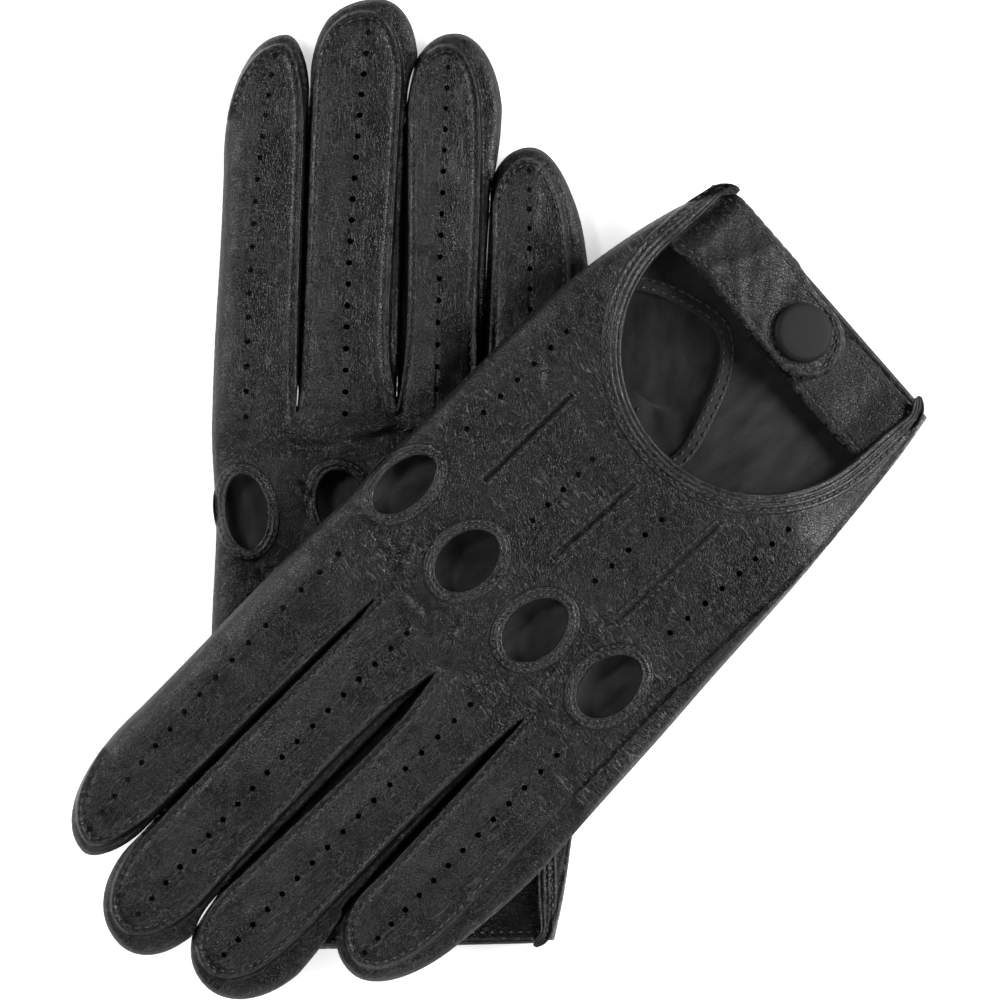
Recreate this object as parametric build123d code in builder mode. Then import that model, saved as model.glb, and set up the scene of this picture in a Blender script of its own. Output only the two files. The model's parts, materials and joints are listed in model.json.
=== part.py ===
"""A pair of unlined leather driving gloves, the left glove lying across the right one.

Millimetres, +Z up, with the table at Z 0 and the origin at the middle of the pair.
Each glove is drawn in its own frame: the cuff's edge is at Y 0, the fingers point along +Y and the
little finger is on the +X side. write_piece() mirrors the left glove and lays both on the table.
"""

import os
from dataclasses import dataclass
from math import cos, radians, sin

from build123d import *

# Leather and layers
LEATHER = 0.9  # thickness of the glove leather
GAP = 0.05  # air between sewn layers
SWEEP_LOW = -20.0  # vertical cuts start below the whole glove
SWEEP_HEIGHT = 80.0  # and end above it
HAND_THICK = 11.0  # the empty hand lying flat, outside to outside
CUFF_THICK = 10.0  # the same at the cuff's edge
FULL_THICKNESS_AT = 32.0  # distance from the cuff where HAND_THICK is reached
FINGER_THICK = 11.6
THUMB_THICK = 4.2  # the thumb is pressed flat under the palm

# The hand: distance from the cuff, then the index side's and the little finger side's edge
HAND_EDGES = (
    (0.0, -37.0, 38.0),
    (12.0, -41.3, 41.2),
    (24.0, -43.3, 43.0),
    (36.0, -44.5, 44.8),
    (50.0, -45.2, 47.0),
    (72.0, -44.7, 49.6),
    (100.0, -42.6, 53.2),
    (128.0, -41.0, 56.6),
)
HAND_LENGTH = HAND_EDGES[-1][0]
LITTLE_STEP = (28.8, 121.0)  # the little finger starts nearer the cuff, past this corner
LITTLE_STEP_WIDTH, LITTLE_STEP_LENGTH = 60.0, 30.0  # the cut past that corner
ROLL_LENGTH = 75.0  # a rolled cuff is level again this far from its edge

# Knuckle holes, index to little: the opening is an ellipse with a sewn binding round it
KNUCKLES = ((-34.5, 107.5), (-10.1, 108.3), (13.5, 107.0), (35.8, 102.6))
KNUCKLE_HOLE = (6.2, 9.1)
KNUCKLE_BINDING = 2.9  # width of the binding round a knuckle hole
KNUCKLE_BINDING_THICK = 1.8
KNUCKLE_BINDING_ROUND = 0.6

# The opening over the back of the wrist
OPENING_CENTRE = (-0.5, 20.0)
OPENING_RADIUS = 35.0
OPENING_BINDING = 3.4  # width of the rolled binding
OPENING_PAST_EDGE = 6.0  # how far its cut runs past the cuff's edge
BINDING_START = 1.0  # distance of the binding's ends from the cuff's edge
BINDING_STEP = 20  # degrees between the points its path runs through

# The thumb: its gusset fills the hole in the palm, and the sleeve lies under the palm
GUSSET_CENTRE = (-19.0, 42.0)
GUSSET_SIZE = (21.0, 19.0)  # half axes of the hole in the palm
GUSSET_LAP = 1.6  # seam allowance lapping the palm's inside
PALM_SINK = 1.5  # a cut this far below the hand's middle takes the palm side only, on a curved hand too
THUMB_AT = (-20.0, 57.0)
THUMB_WIDTH = 25.0
THUMB_LENGTH = 60.0
THUMB_LEAN = 8.0  # degrees towards the little finger
THUMB_HEEL = 6.0  # how far the sleeve reaches behind its pivot

# The wrist: a turned hem and an elastic on the inside of the palm
HEM_WIDTH = 5.0
HEM_HALF_LENGTH = 34.0
ELASTIC_FROM = 5.6
ELASTIC_WIDTH = 7.0
ELASTIC_HALF_LENGTH = 29.0
ELASTIC_THICK = 0.8

# Strap, tab and snap, in the cuff's own frame: X across the wrist, Z out of the back of the hand
STRAP_HALF_WIDTH = 10.0
STRAP_BASE_X = -35.5
STRAP_ROUND_X = 3.2  # centre of the strap's round end
TAB_BASE_X = 34.0
TAB_END_X = -8.0
TAB_LOW, TAB_MIDDLE, TAB_TOP = 1.6, 2.4, 3.4  # lining from low to middle, leather to top
TAB_WIDTH = 19.0
TAB_CORNER = 1.5
STRAP_LOW, STRAP_MIDDLE, STRAP_TOP = 6.6, 7.4, 8.4
SNAP_X = 1.3
CAP_RADIUS, CAP_THICK, CAP_CHAMFER = 7.5, 1.9, 0.7
RIVET_RADIUS = 1.2
RIVET_HOLE = 1.3
SOCKET_RADIUS, SOCKET_BORE, SOCKET_LOW, SOCKET_WEB, SOCKET_ROUND = 5.2, 2.4, 4.3, 0.5, 0.5
STUD_RADIUS, STUD_HEAD, STUD_TOP, STUD_FLANGE, STUD_ROUND = 4.6, 2.0, 5.8, 0.5, 0.6
POST_RADIUS, POST_BARREL, POST_FLANGE, POST_ROUND = 3.6, 1.1, 0.5, 0.2

# Fingers
FINGER_START = 0.6  # air between the hand's end and a finger's base
FOURCHETTE_DEPTH = 3.0  # how far the side wall reaches in from the finger's widest line
FOURCHETTE_TIP = 8.5  # the side wall ends this far short of the finger's tip
FLAT_EDGE = 0.3  # what stays straight between the two rounded rims of a finger


@dataclass
class Finger:
    base_x: float
    base_y: float
    lean: float  # degrees towards the little finger
    width: float
    length: float
    walls: tuple  # sides with a fourchette: -1 the index side, +1 the little finger side


@dataclass
class Glove:
    side: str
    at: tuple  # the cuff's middle on the table
    turn: float  # degrees from +Y to the way the hand points
    strap_y: float  # distance of the strap's centre line from the cuff's edge
    cuff_z: float  # height of the flattened hand's middle at the cuff
    hand_z: float  # and over the palm
    rise: float  # distance from the cuff at which hand_z is reached
    roll: float  # rise per millimetre towards the little finger, at the cuff
    thumb_z: float  # underside of the thumb
    droop: float  # degrees that the fingers sink towards their tips
    fingers: dict


RIGHT = Glove(
    side="right",
    at=(-23.8, -110.4),
    turn=1.4,
    strap_y=10.5,
    cuff_z=6.0,
    hand_z=10.5,
    rise=50.0,
    roll=0.0,
    thumb_z=0.0,
    droop=2.5,
    fingers={
        "index": Finger(-31.0, 128.6, 4.0, 20.6, 94.0, (1,)),
        "middle": Finger(-9.7, 128.6, 4.2, 20.2, 103.6, (-1, 1)),
        "ring": Finger(13.8, 128.6, 2.6, 20.8, 95.8, (-1, 1)),
        "little": Finger(40.6, 121.6, -0.8, 23.0, 73.4, (-1,)),
    },
)
LEFT = Glove(
    side="left",
    at=(81.2, 48.3),
    turn=131.4,
    strap_y=12.5,
    cuff_z=12.2,
    hand_z=27.5,
    rise=50.0,
    roll=-0.14,
    thumb_z=16.8,
    droop=4.5,
    fingers={
        "index": Finger(-29.7, 128.6, 4.6, 21.4, 98.0, (1,)),
        "middle": Finger(-7.4, 128.6, 4.8, 21.6, 106.6, (-1, 1)),
        "ring": Finger(16.6, 128.6, 3.8, 22.4, 97.4, (-1, 1)),
        "little": Finger(43.4, 121.6, 1.8, 26.4, 75.2, (-1,)),
    },
)


def smoothstep(share):
    share = min(max(share, 0.0), 1.0)
    return share * share * (3 - 2 * share)


def mid_height(glove, x, y):
    """Height of the flattened hand's middle surface."""
    lift = (glove.hand_z - glove.cuff_z) * smoothstep(y / glove.rise)
    roll = glove.roll * (1 - smoothstep(y / ROLL_LENGTH))
    return glove.cuff_z + lift + roll * x


def surface_plane(glove, x, y):
    """Plane that touches the middle surface at x, y, with X across the hand and Y towards the fingers."""
    step = 0.5
    across = Vector(2 * step, 0, mid_height(glove, x + step, y) - mid_height(glove, x - step, y))
    along = Vector(0, 2 * step, mid_height(glove, x, y + step) - mid_height(glove, x, y - step))
    return Plane(
        origin=(x, y, mid_height(glove, x, y)), x_dir=across, z_dir=across.cross(along)
    )


def section_plane(glove, x, y):
    """Plane across the hand at x, y, for one section of a loft."""
    surface = surface_plane(glove, x, y)
    return Plane(origin=surface.origin, x_dir=surface.x_dir, z_dir=surface.y_dir)


def hand_form(glove, inset, reach=0.0):
    """The flattened hand as one solid, inset all round, and longer by reach at both ends."""
    stations = list(HAND_EDGES)
    if reach:
        stations.insert(0, (-reach, *HAND_EDGES[0][1:]))
        stations.append((HAND_LENGTH + reach, *HAND_EDGES[-1][1:]))
    with BuildPart() as form:
        for y, left, right in stations:
            thick = CUFF_THICK + (HAND_THICK - CUFF_THICK) * smoothstep(y / FULL_THICKNESS_AT)
            with BuildSketch(section_plane(glove, (left + right) / 2, y)):
                SlotOverall(right - left - 2 * inset, thick - 2 * inset)
        loft(ruled=True)
    return form.part


def hand_layer(glove, outside, thickness):
    """A tube of leather that follows the hand, its outer face inset by outside."""
    with BuildPart() as layer:
        add(hand_form(glove, outside))
        add(hand_form(glove, outside + thickness, reach=1.0), mode=Mode.SUBTRACT)
    return layer.part


def middle_plane(glove):
    """Flat plane through the hand's middle at the two cuff corners and the wrist opening's far end."""
    far = OPENING_CENTRE[1] + OPENING_RADIUS
    index, little = HAND_EDGES[0][1:]
    corner = Vector(index, 0, mid_height(glove, index, 0))
    across = Vector(little, 0, mid_height(glove, little, 0)) - corner
    along = Vector(0, far, mid_height(glove, 0, far)) - corner
    return Plane(origin=corner, x_dir=across, z_dir=across.cross(along))


def opening_cutter(glove):
    """Everything that the wrist opening takes out of the back of the hand, binding included."""
    radius = OPENING_RADIUS + OPENING_BINDING + GAP
    depth = OPENING_CENTRE[1] + OPENING_PAST_EDGE
    with BuildPart() as cutter:
        with BuildSketch(Plane.XY.offset(SWEEP_LOW)):
            with Locations(OPENING_CENTRE):
                Circle(radius)
                Rectangle(2 * radius, depth, align=(Align.CENTER, Align.MAX))
        extrude(amount=SWEEP_HEIGHT)
        split(bisect_by=middle_plane(glove), keep=Keep.TOP)
    return cutter.part


def make_trank(glove):
    """The main piece: back and palm of the hand in one piece of leather, folded on the index side."""
    with BuildPart() as trank:
        add(hand_layer(glove, 0.0, LEATHER))
        with BuildSketch(Plane.XY.offset(glove.hand_z)):
            with Locations(*KNUCKLES):
                Ellipse(*(half + KNUCKLE_BINDING + GAP for half in KNUCKLE_HOLE))
        extrude(amount=HAND_THICK, mode=Mode.SUBTRACT)
        add(opening_cutter(glove), mode=Mode.SUBTRACT)
        with BuildSketch(middle_plane(glove)):
            with Locations(middle_plane(glove).to_local_coords(Vector(*GUSSET_CENTRE, glove.cuff_z))):
                Ellipse(*GUSSET_SIZE)
        extrude(amount=-2 * HAND_THICK, mode=Mode.SUBTRACT)
        with Locations((LITTLE_STEP[0], LITTLE_STEP[1], glove.hand_z)):
            Box(
                LITTLE_STEP_WIDTH,
                LITTLE_STEP_LENGTH,
                SWEEP_HEIGHT,
                align=(Align.MIN, Align.MIN, Align.CENTER),
                mode=Mode.SUBTRACT,
            )
    return trank.part


def make_knuckle_bindings(glove):
    """Four sewn rings, one round each knuckle hole."""
    middle = glove.hand_z + (HAND_THICK - LEATHER) / 2
    with BuildPart() as bindings:
        with BuildSketch(Plane.XY.offset(middle - KNUCKLE_BINDING_THICK / 2)):
            with Locations(*KNUCKLES):
                Ellipse(*(half + KNUCKLE_BINDING for half in KNUCKLE_HOLE))
                Ellipse(*KNUCKLE_HOLE, mode=Mode.SUBTRACT)
        extrude(amount=KNUCKLE_BINDING_THICK)
        fillet(bindings.edges().group_by(Axis.Z)[-1], KNUCKLE_BINDING_ROUND)
    return bindings.part


def make_opening_binding(glove):
    """The rolled leather edge that runs from one cuff corner, round the wrist opening, to the other."""
    centre_x, centre_y = OPENING_CENTRE
    radius = OPENING_RADIUS + OPENING_BINDING / 2
    outline = [(centre_x - radius, BINDING_START), (centre_x - radius, centre_y / 2)]
    outline += [
        (centre_x - radius * cos(radians(turn)), centre_y + radius * sin(radians(turn)))
        for turn in range(0, 181, BINDING_STEP)
    ]
    outline += [(centre_x + radius, centre_y / 2), (centre_x + radius, BINDING_START)]
    height = CUFF_THICK / 2 - LEATHER
    points = [(x, y, mid_height(glove, x, y) + height) for x, y in outline]
    with BuildPart() as binding:
        with BuildLine():
            path = Spline(*points)
        with BuildSketch(Plane(origin=path @ 0, z_dir=path % 0)):
            Circle(OPENING_BINDING / 2 - GAP)
        sweep()
    return binding.part


def make_thumb_gusset(glove):
    """The thumb's inner piece: it closes the hole in the palm and laps the palm's inside."""
    with BuildPart() as patch:
        with BuildSketch(Plane.XY.offset(SWEEP_LOW)):
            with Locations(GUSSET_CENTRE):
                Ellipse(*(half + GUSSET_LAP for half in GUSSET_SIZE))
        extrude(amount=SWEEP_HEIGHT)
        split(bisect_by=surface_plane(glove, *GUSSET_CENTRE).offset(-PALM_SINK), keep=Keep.BOTTOM)
    with BuildPart() as gusset:
        add(hand_layer(glove, LEATHER + GAP, LEATHER))
        add(patch.part, mode=Mode.INTERSECT)
    return gusset.part


def wrist_band(glove, start, width, half_length, thickness):
    """A strip along the inside of the palm, from start to start + width from the cuff's edge."""
    with BuildPart() as patch:
        with BuildSketch(Plane.XY.offset(SWEEP_LOW)):
            with Locations((0, start + width / 2)):
                Rectangle(2 * half_length, width)
        extrude(amount=SWEEP_HEIGHT)
        split(bisect_by=surface_plane(glove, 0, start + width / 2), keep=Keep.BOTTOM)
    with BuildPart() as band:
        add(hand_layer(glove, LEATHER + GAP, thickness))
        add(patch.part, mode=Mode.INTERSECT)
    return band.part


def make_wrist_hem(glove):
    """The palm's cuff edge, turned in."""
    return wrist_band(glove, -1.0, HEM_WIDTH + 1.0, HEM_HALF_LENGTH, LEATHER)


def make_wrist_elastic(glove):
    """The elastic that gathers the palm side of the wrist."""
    return wrist_band(glove, ELASTIC_FROM, ELASTIC_WIDTH, ELASTIC_HALF_LENGTH, ELASTIC_THICK)


def finger_form(width, length, thick, inset, start):
    """A flattened finger with a round tip, as one solid, inset all round; its base is at Y start."""
    half = width / 2 - inset
    tip = length - inset
    shoulder = tip - half
    rise = thick / 2 - inset
    with BuildPart() as form:
        with BuildSketch():
            with BuildLine():
                Polyline((half, shoulder), (half, start), (-half, start), (-half, shoulder))
                ThreePointArc((-half, shoulder), (0, tip), (half, shoulder))
            make_face()
        extrude(amount=rise, both=True)
        rims = form.edges().filter_by(
            lambda edge: abs(abs(edge.center().Z) - rise) < 0.01 and edge.center().Y > start + 0.1
        )
        fillet(rims, rise - FLAT_EDGE)
    return form.part


def finger_tube(finger):
    """One finger's leather as a closed tube with an open base."""
    with BuildPart() as tube:
        add(finger_form(finger.width, finger.length, FINGER_THICK, 0.0, FINGER_START))
        add(
            finger_form(finger.width, finger.length, FINGER_THICK, LEATHER, FINGER_START - 1),
            mode=Mode.SUBTRACT,
        )
    return tube.part


def wall_box(finger, side, air):
    """The space that one side wall takes up, grown by air."""
    length = finger.length - FOURCHETTE_TIP - FINGER_START
    reach = FOURCHETTE_DEPTH + air
    with BuildPart() as space:
        with Locations((side * (finger.width / 2 - reach), FINGER_START - 0.5, 0)):
            Box(
                2 * reach,
                length + 0.5 + air,
                2 * FINGER_THICK,
                align=(Align.MIN if side > 0 else Align.MAX, Align.MIN, Align.CENTER),
            )
    return space.part


def make_finger(finger):
    """The back and palm of one finger, with its tip, open where the side walls are sewn in."""
    with BuildPart() as shell:
        add(finger_tube(finger))
        for side in finger.walls:
            add(wall_box(finger, side, GAP), mode=Mode.SUBTRACT)
    return shell.part


def make_fourchette(finger, side):
    """The side wall between the back and the palm of one finger."""
    with BuildPart() as wall:
        add(finger_tube(finger))
        add(wall_box(finger, side, 0.0), mode=Mode.INTERSECT)
    return wall.part


def finger_plane(glove, finger):
    """Where a finger's own frame lies: Y along the finger, Z out of its back."""
    lean, pitch = radians(finger.lean), radians(glove.droop)
    across = Vector(cos(lean), -sin(lean), 0)
    along = Vector(sin(lean) * cos(pitch), cos(lean) * cos(pitch), -sin(pitch))
    return Plane(
        origin=(finger.base_x, finger.base_y, glove.hand_z), x_dir=across, z_dir=across.cross(along)
    )


def make_thumb():
    """The thumb's sleeve, pressed flat, with its open mouth under the gusset."""
    with BuildPart() as thumb:
        add(finger_form(THUMB_WIDTH, THUMB_LENGTH, THUMB_THICK, 0.0, -THUMB_HEEL))
        add(
            finger_form(THUMB_WIDTH, THUMB_LENGTH, THUMB_THICK, LEATHER, -THUMB_HEEL - 1),
            mode=Mode.SUBTRACT,
        )
    return thumb.part


def thumb_plane(glove):
    """Where the thumb's own frame lies."""
    lean = radians(THUMB_LEAN)
    return Plane(
        origin=(*THUMB_AT, glove.thumb_z + THUMB_THICK / 2),
        x_dir=(cos(lean), -sin(lean), 0),
        z_dir=(0, 0, 1),
    )


def cuff_plane(glove):
    """Where the strap's own frame lies."""
    return surface_plane(glove, 0.0, glove.strap_y)


def make_strap_layer(low, top):
    """One layer of the strap: a straight root, a round end and the rivet's hole."""
    with BuildPart() as layer:
        with BuildSketch(Plane.XY.offset(low)):
            with BuildLine():
                Polyline(
                    (STRAP_ROUND_X, STRAP_HALF_WIDTH),
                    (STRAP_BASE_X, STRAP_HALF_WIDTH),
                    (STRAP_BASE_X, -STRAP_HALF_WIDTH),
                    (STRAP_ROUND_X, -STRAP_HALF_WIDTH),
                )
                ThreePointArc(
                    (STRAP_ROUND_X, -STRAP_HALF_WIDTH),
                    (STRAP_ROUND_X + STRAP_HALF_WIDTH, 0),
                    (STRAP_ROUND_X, STRAP_HALF_WIDTH),
                )
            make_face()
            with Locations((SNAP_X, 0)):
                Circle(RIVET_HOLE, mode=Mode.SUBTRACT)
        extrude(amount=top - low)
    return layer.part


def make_tab_layer(low, top):
    """One layer of the tab, with the post's hole."""
    with BuildPart() as layer:
        with BuildSketch(Plane.XY.offset(low)):
            with Locations(((TAB_BASE_X + TAB_END_X) / 2, 0)):
                RectangleRounded(TAB_BASE_X - TAB_END_X, TAB_WIDTH, TAB_CORNER)
            with Locations((SNAP_X, 0)):
                Circle(RIVET_HOLE, mode=Mode.SUBTRACT)
        extrude(amount=top - low)
    return layer.part


def make_snap_cap():
    """The round cap on the strap, with the rivet that holds it to the socket."""
    low = STRAP_TOP + GAP
    rivet_low = STRAP_LOW - SOCKET_WEB + GAP
    with BuildPart() as cap:
        with Locations((SNAP_X, 0, low)):
            Cylinder(CAP_RADIUS, CAP_THICK, align=(Align.CENTER, Align.CENTER, Align.MIN))
        chamfer(cap.edges().group_by(Axis.Z)[-1], CAP_CHAMFER)
        with Locations((SNAP_X, 0, rivet_low)):
            Cylinder(RIVET_RADIUS, low - rivet_low, align=(Align.CENTER, Align.CENTER, Align.MIN))
    return cap.part


def make_snap_socket():
    """The ring under the strap that grips the stud's head."""
    height = STRAP_LOW - GAP - SOCKET_LOW
    with BuildPart() as socket:
        with Locations((SNAP_X, 0, SOCKET_LOW)):
            Cylinder(SOCKET_RADIUS, height, align=(Align.CENTER, Align.CENTER, Align.MIN))
            Cylinder(
                SOCKET_BORE,
                height - SOCKET_WEB,
                align=(Align.CENTER, Align.CENTER, Align.MIN),
                mode=Mode.SUBTRACT,
            )
            Cylinder(
                RIVET_HOLE,
                height,
                align=(Align.CENTER, Align.CENTER, Align.MIN),
                mode=Mode.SUBTRACT,
            )
        fillet(socket.edges().group_by(Axis.Z)[0].sort_by(SortBy.LENGTH)[-1], SOCKET_ROUND)
    return socket.part


def make_snap_stud():
    """The stud on the tab: a flange and a round head."""
    low = TAB_TOP + GAP
    with BuildPart() as stud:
        with Locations((SNAP_X, 0, low)):
            Cylinder(STUD_RADIUS, STUD_FLANGE, align=(Align.CENTER, Align.CENTER, Align.MIN))
            Cylinder(STUD_HEAD, STUD_TOP - low, align=(Align.CENTER, Align.CENTER, Align.MIN))
        fillet(stud.edges().group_by(Axis.Z)[-1], STUD_ROUND)
    return stud.part


def make_snap_post():
    """The eyelet under the tab whose barrel is clinched in the stud."""
    low = TAB_LOW - GAP - POST_FLANGE
    with BuildPart() as post:
        with Locations((SNAP_X, 0, low)):
            Cylinder(POST_RADIUS, POST_FLANGE, align=(Align.CENTER, Align.CENTER, Align.MIN))
            Cylinder(POST_BARREL, TAB_TOP - low, align=(Align.CENTER, Align.CENTER, Align.MIN))
        fillet(post.edges().group_by(Axis.Z)[0], POST_ROUND)
    return post.part


def glove_pieces(glove):
    """Every piece of one glove: its name, the piece as drawn, and the plane it belongs on."""
    hand = Plane.XY
    cuff = cuff_plane(glove)
    pieces = [
        ("trank", make_trank(glove), hand),
        ("knuckle_bindings", make_knuckle_bindings(glove), hand),
        ("opening_binding", make_opening_binding(glove), hand),
        ("thumb_gusset", make_thumb_gusset(glove), hand),
        ("thumb", make_thumb(), thumb_plane(glove)),
        ("wrist_hem", make_wrist_hem(glove), hand),
        ("wrist_elastic", make_wrist_elastic(glove), hand),
        ("strap_lining", make_strap_layer(STRAP_LOW, STRAP_MIDDLE), cuff),
        ("strap_outer", make_strap_layer(STRAP_MIDDLE, STRAP_TOP), cuff),
        ("tab_lining", make_tab_layer(TAB_LOW, TAB_MIDDLE), cuff),
        ("tab_outer", make_tab_layer(TAB_MIDDLE, TAB_TOP), cuff),
        ("snap_cap", make_snap_cap(), cuff),
        ("snap_socket", make_snap_socket(), cuff),
        ("snap_stud", make_snap_stud(), cuff),
        ("snap_post", make_snap_post(), cuff),
    ]
    side_names = {-1: "index_side", 1: "little_side"}
    for name, finger in glove.fingers.items():
        plane = finger_plane(glove, finger)
        pieces.append((f"{name}_finger", make_finger(finger), plane))
        for side in finger.walls:
            pieces.append((f"{name}_fourchette_{side_names[side]}", make_fourchette(finger, side), plane))
    return pieces


def write_piece(glove, name, drawn, plane):
    """Carries a piece to its place on the glove and the glove to the table, and writes it."""
    with BuildPart(plane) as on_glove:
        add(drawn)
    with BuildPart() as handed:
        add(on_glove.part)
        if glove.side == "left":
            mirror(about=Plane.YZ, mode=Mode.REPLACE)
    with BuildPart(Plane(Location((*glove.at, 0), (0, 0, glove.turn)))) as placed:
        add(handed.part)
    placed.part.label = f"{glove.side}_{name}"
    export_step(placed.part, f"parts/{placed.part.label}.step")


def main():
    os.makedirs("parts", exist_ok=True)
    for glove in (RIGHT, LEFT):
        for name, drawn, plane in glove_pieces(glove):
            write_piece(glove, name, drawn, plane)


if __name__ == "__main__":
    main()
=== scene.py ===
"""The looks of a pair of black leather driving gloves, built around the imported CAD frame.

Both gloves are cut from one pattern, drawn in millimetres: Y 0 is the cuff's edge, the fingers point
along +Y and the little finger is on the +X side. Every height is measured from the flattened hand's
middle surface. A Glove lays the pattern in the row frame, and mirrors it for the left hand.
"""

import json
import math

import bpy
import numpy as np
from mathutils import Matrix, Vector, noise
from mathutils.geometry import delaunay_2d_cdt
from mathutils.kdtree import KDTree


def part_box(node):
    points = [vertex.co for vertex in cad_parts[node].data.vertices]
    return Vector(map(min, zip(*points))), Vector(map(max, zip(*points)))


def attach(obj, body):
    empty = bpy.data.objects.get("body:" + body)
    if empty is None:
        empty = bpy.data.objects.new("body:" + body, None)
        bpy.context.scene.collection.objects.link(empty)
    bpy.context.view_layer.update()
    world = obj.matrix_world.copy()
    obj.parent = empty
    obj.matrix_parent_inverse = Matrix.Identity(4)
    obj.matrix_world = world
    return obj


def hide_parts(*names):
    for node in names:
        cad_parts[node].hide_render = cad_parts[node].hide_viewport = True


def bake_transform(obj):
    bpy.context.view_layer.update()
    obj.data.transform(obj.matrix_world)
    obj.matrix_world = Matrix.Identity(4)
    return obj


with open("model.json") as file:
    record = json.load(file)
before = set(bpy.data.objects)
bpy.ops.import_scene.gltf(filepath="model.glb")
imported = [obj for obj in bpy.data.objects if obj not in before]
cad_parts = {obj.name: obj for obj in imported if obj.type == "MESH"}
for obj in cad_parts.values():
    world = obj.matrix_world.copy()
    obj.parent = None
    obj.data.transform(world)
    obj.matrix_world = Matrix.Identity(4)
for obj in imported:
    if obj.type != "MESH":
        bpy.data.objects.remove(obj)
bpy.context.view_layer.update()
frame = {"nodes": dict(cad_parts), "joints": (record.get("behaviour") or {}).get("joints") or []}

MM = 0.001
LEATHER = 0.9  # thickness of the glove leather
SLEEVE_LEATHER = 0.8  # of the thumb's sleeve
GUSSET_LEATHER = 0.7
HAND_STEP = 1.0  # spacing of the mesh on the backs of the hands
PALM_STEP = 1.9
LINE_STEP = 0.9  # spacing of the points on the pattern's lines

HAND_TOP = 5.0  # height of the back over the middle surface
EDGE_TOP = 4.5  # and at the fingers' seams
FINGER_RISE = 0.55  # how much higher the fingers' middles are
PALM_DEPTH = 4.9
HAND_PALM_EXTRA = 0.2  # how much deeper the palm side is on the hand than on the fingers
FINGERS_START = 124.0  # Y where the hand's shape turns into the fingers'
CREASE_DEPTH = 1.35
FOLD = 5.5  # width over which the index side's fold rounds off

HAND_LEFT = (
    (-37.0, 0), (-40.6, 10), (-43.0, 22), (-44.8, 38), (-45.2, 56), (-44.0, 80), (-42.4, 100), (-40.9, 124),
)
HAND_RIGHT = ((38.5, 0), (41.0, 10), (43.0, 22), (45.4, 38), (48.0, 56), (50.6, 80), (53.4, 100), (56.6, 128))
SEAM_RIGHT = ((36.4, 0), (39.6, 10), (42.2, 22), (44.6, 38), (46.2, 56), (46.4, 80), (47.6, 100), (50.4, 128))
CROTCHES = ((-18.1, 129.2), (5.2, 131.0), (27.9, 120.8))
CROTCH_HALF_WIDTH = 0.2
CROTCH_ROUND = 0.9
OUTER_CROTCH_RISE = 3.4  # the side walls meet this far past the panels' crotch

# Each finger: points up its left side, the tip, points up its right side. First what shows from above,
# side walls included, then the back panel inside it, which ends at the seams.
FINGERS = {
    "index": {
        "outer": (
            ((-39.6, 148), (-37.4, 172), (-36.0, 192)),
            (-19.2, 226.3),
            ((-17.1, 150), (-14.1, 200), (-13.2, 212)),
        ),
        "panel": (
            ((-39.6, 148), (-37.4, 172), (-36.0, 192)),
            (-20.0, 223.6),
            ((-18.0, 150), (-15.2, 198), (-14.8, 206)),
        ),
    },
    "middle": {
        "outer": (
            ((-16.9, 150), (-13.9, 200), (-12.5, 214)),
            (3.4, 234.7),
            ((6.2, 150), (10.0, 203), (11.8, 212), (14.2, 220)),
        ),
        "panel": (
            ((-16.0, 150), (-13.0, 200), (-12.0, 208)),
            (1.0, 231.4),
            ((3.2, 150), (8.0, 200), (9.6, 214)),
        ),
    },
    "ring": {
        "outer": (
            ((6.4, 150), (10.2, 203), (10.6, 206)),
            (25.0, 225.6),
            ((29.5, 150), (32.9, 184), (37.0, 196), (38.6, 206)),
        ),
        "panel": (
            ((9.3, 150), (10.9, 198), (11.2, 204)),
            (22.6, 222.4),
            ((27.6, 150), (31.6, 196), (31.8, 206)),
        ),
    },
    "little": {
        "outer": (
            ((29.7, 150), (33.1, 180), (33.6, 183)),
            (46.0, 196.6),
            ((58.4, 140), (59.4, 154), (59.0, 170)),
        ),
        "panel": (
            ((31.4, 150), (33.4, 172), (33.8, 178)),
            (45.4, 193.6),
            ((52.0, 148), (54.2, 168), (54.3, 174)),
        ),
    },
}
NAMES = tuple(FINGERS)
FINGER_BASE = {
    "index": (-29.7, 129.2),
    "middle": (-7.4, 129.2),
    "ring": (16.6, 129.2),
    "little": (43.4, 122.2),
}
BEND_START = {"index": 133.5, "middle": 133.5, "ring": 133.5, "little": 126.5}
BEND_LENGTH = 17.0
WALLS = {
    "index_fourchette_little_side": ("index", 1),
    "middle_fourchette_index_side": ("middle", -1),
    "middle_fourchette_little_side": ("middle", 1),
    "ring_fourchette_index_side": ("ring", -1),
    "ring_fourchette_little_side": ("ring", 1),
    "little_fourchette_index_side": ("little", -1),
}
WALL_TIP = 7.0  # a side wall ends this far short of its finger's tip
LAP_SIDEWAYS = 0.2  # how far a finger's edge reaches over its neighbour's
LAP_UP = 1.2
JOIN_REACH = 0.02
SAME_POINT = 1e-3

KNUCKLES = ((-34.3, 107.5), (-10.1, 108.3), (13.5, 107.0), (35.8, 102.6))
KNUCKLE_HOLES = ((5.2, 9.2), (6.4, 8.8), (6.4, 9.1), (6.25, 9.1))  # half axes, index to little
RING_WIDTH = 2.9
KNUCKLE_RING_HEIGHT = 5.05  # of the rings' middle over the hand's middle surface
OPENING_CENTRE = (-0.5, 20.0)
OPENING_RADIUS = 35.0
BINDING_WIDTH = 3.5
BINDING_PATH = OPENING_RADIUS + BINDING_WIDTH / 2

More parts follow.
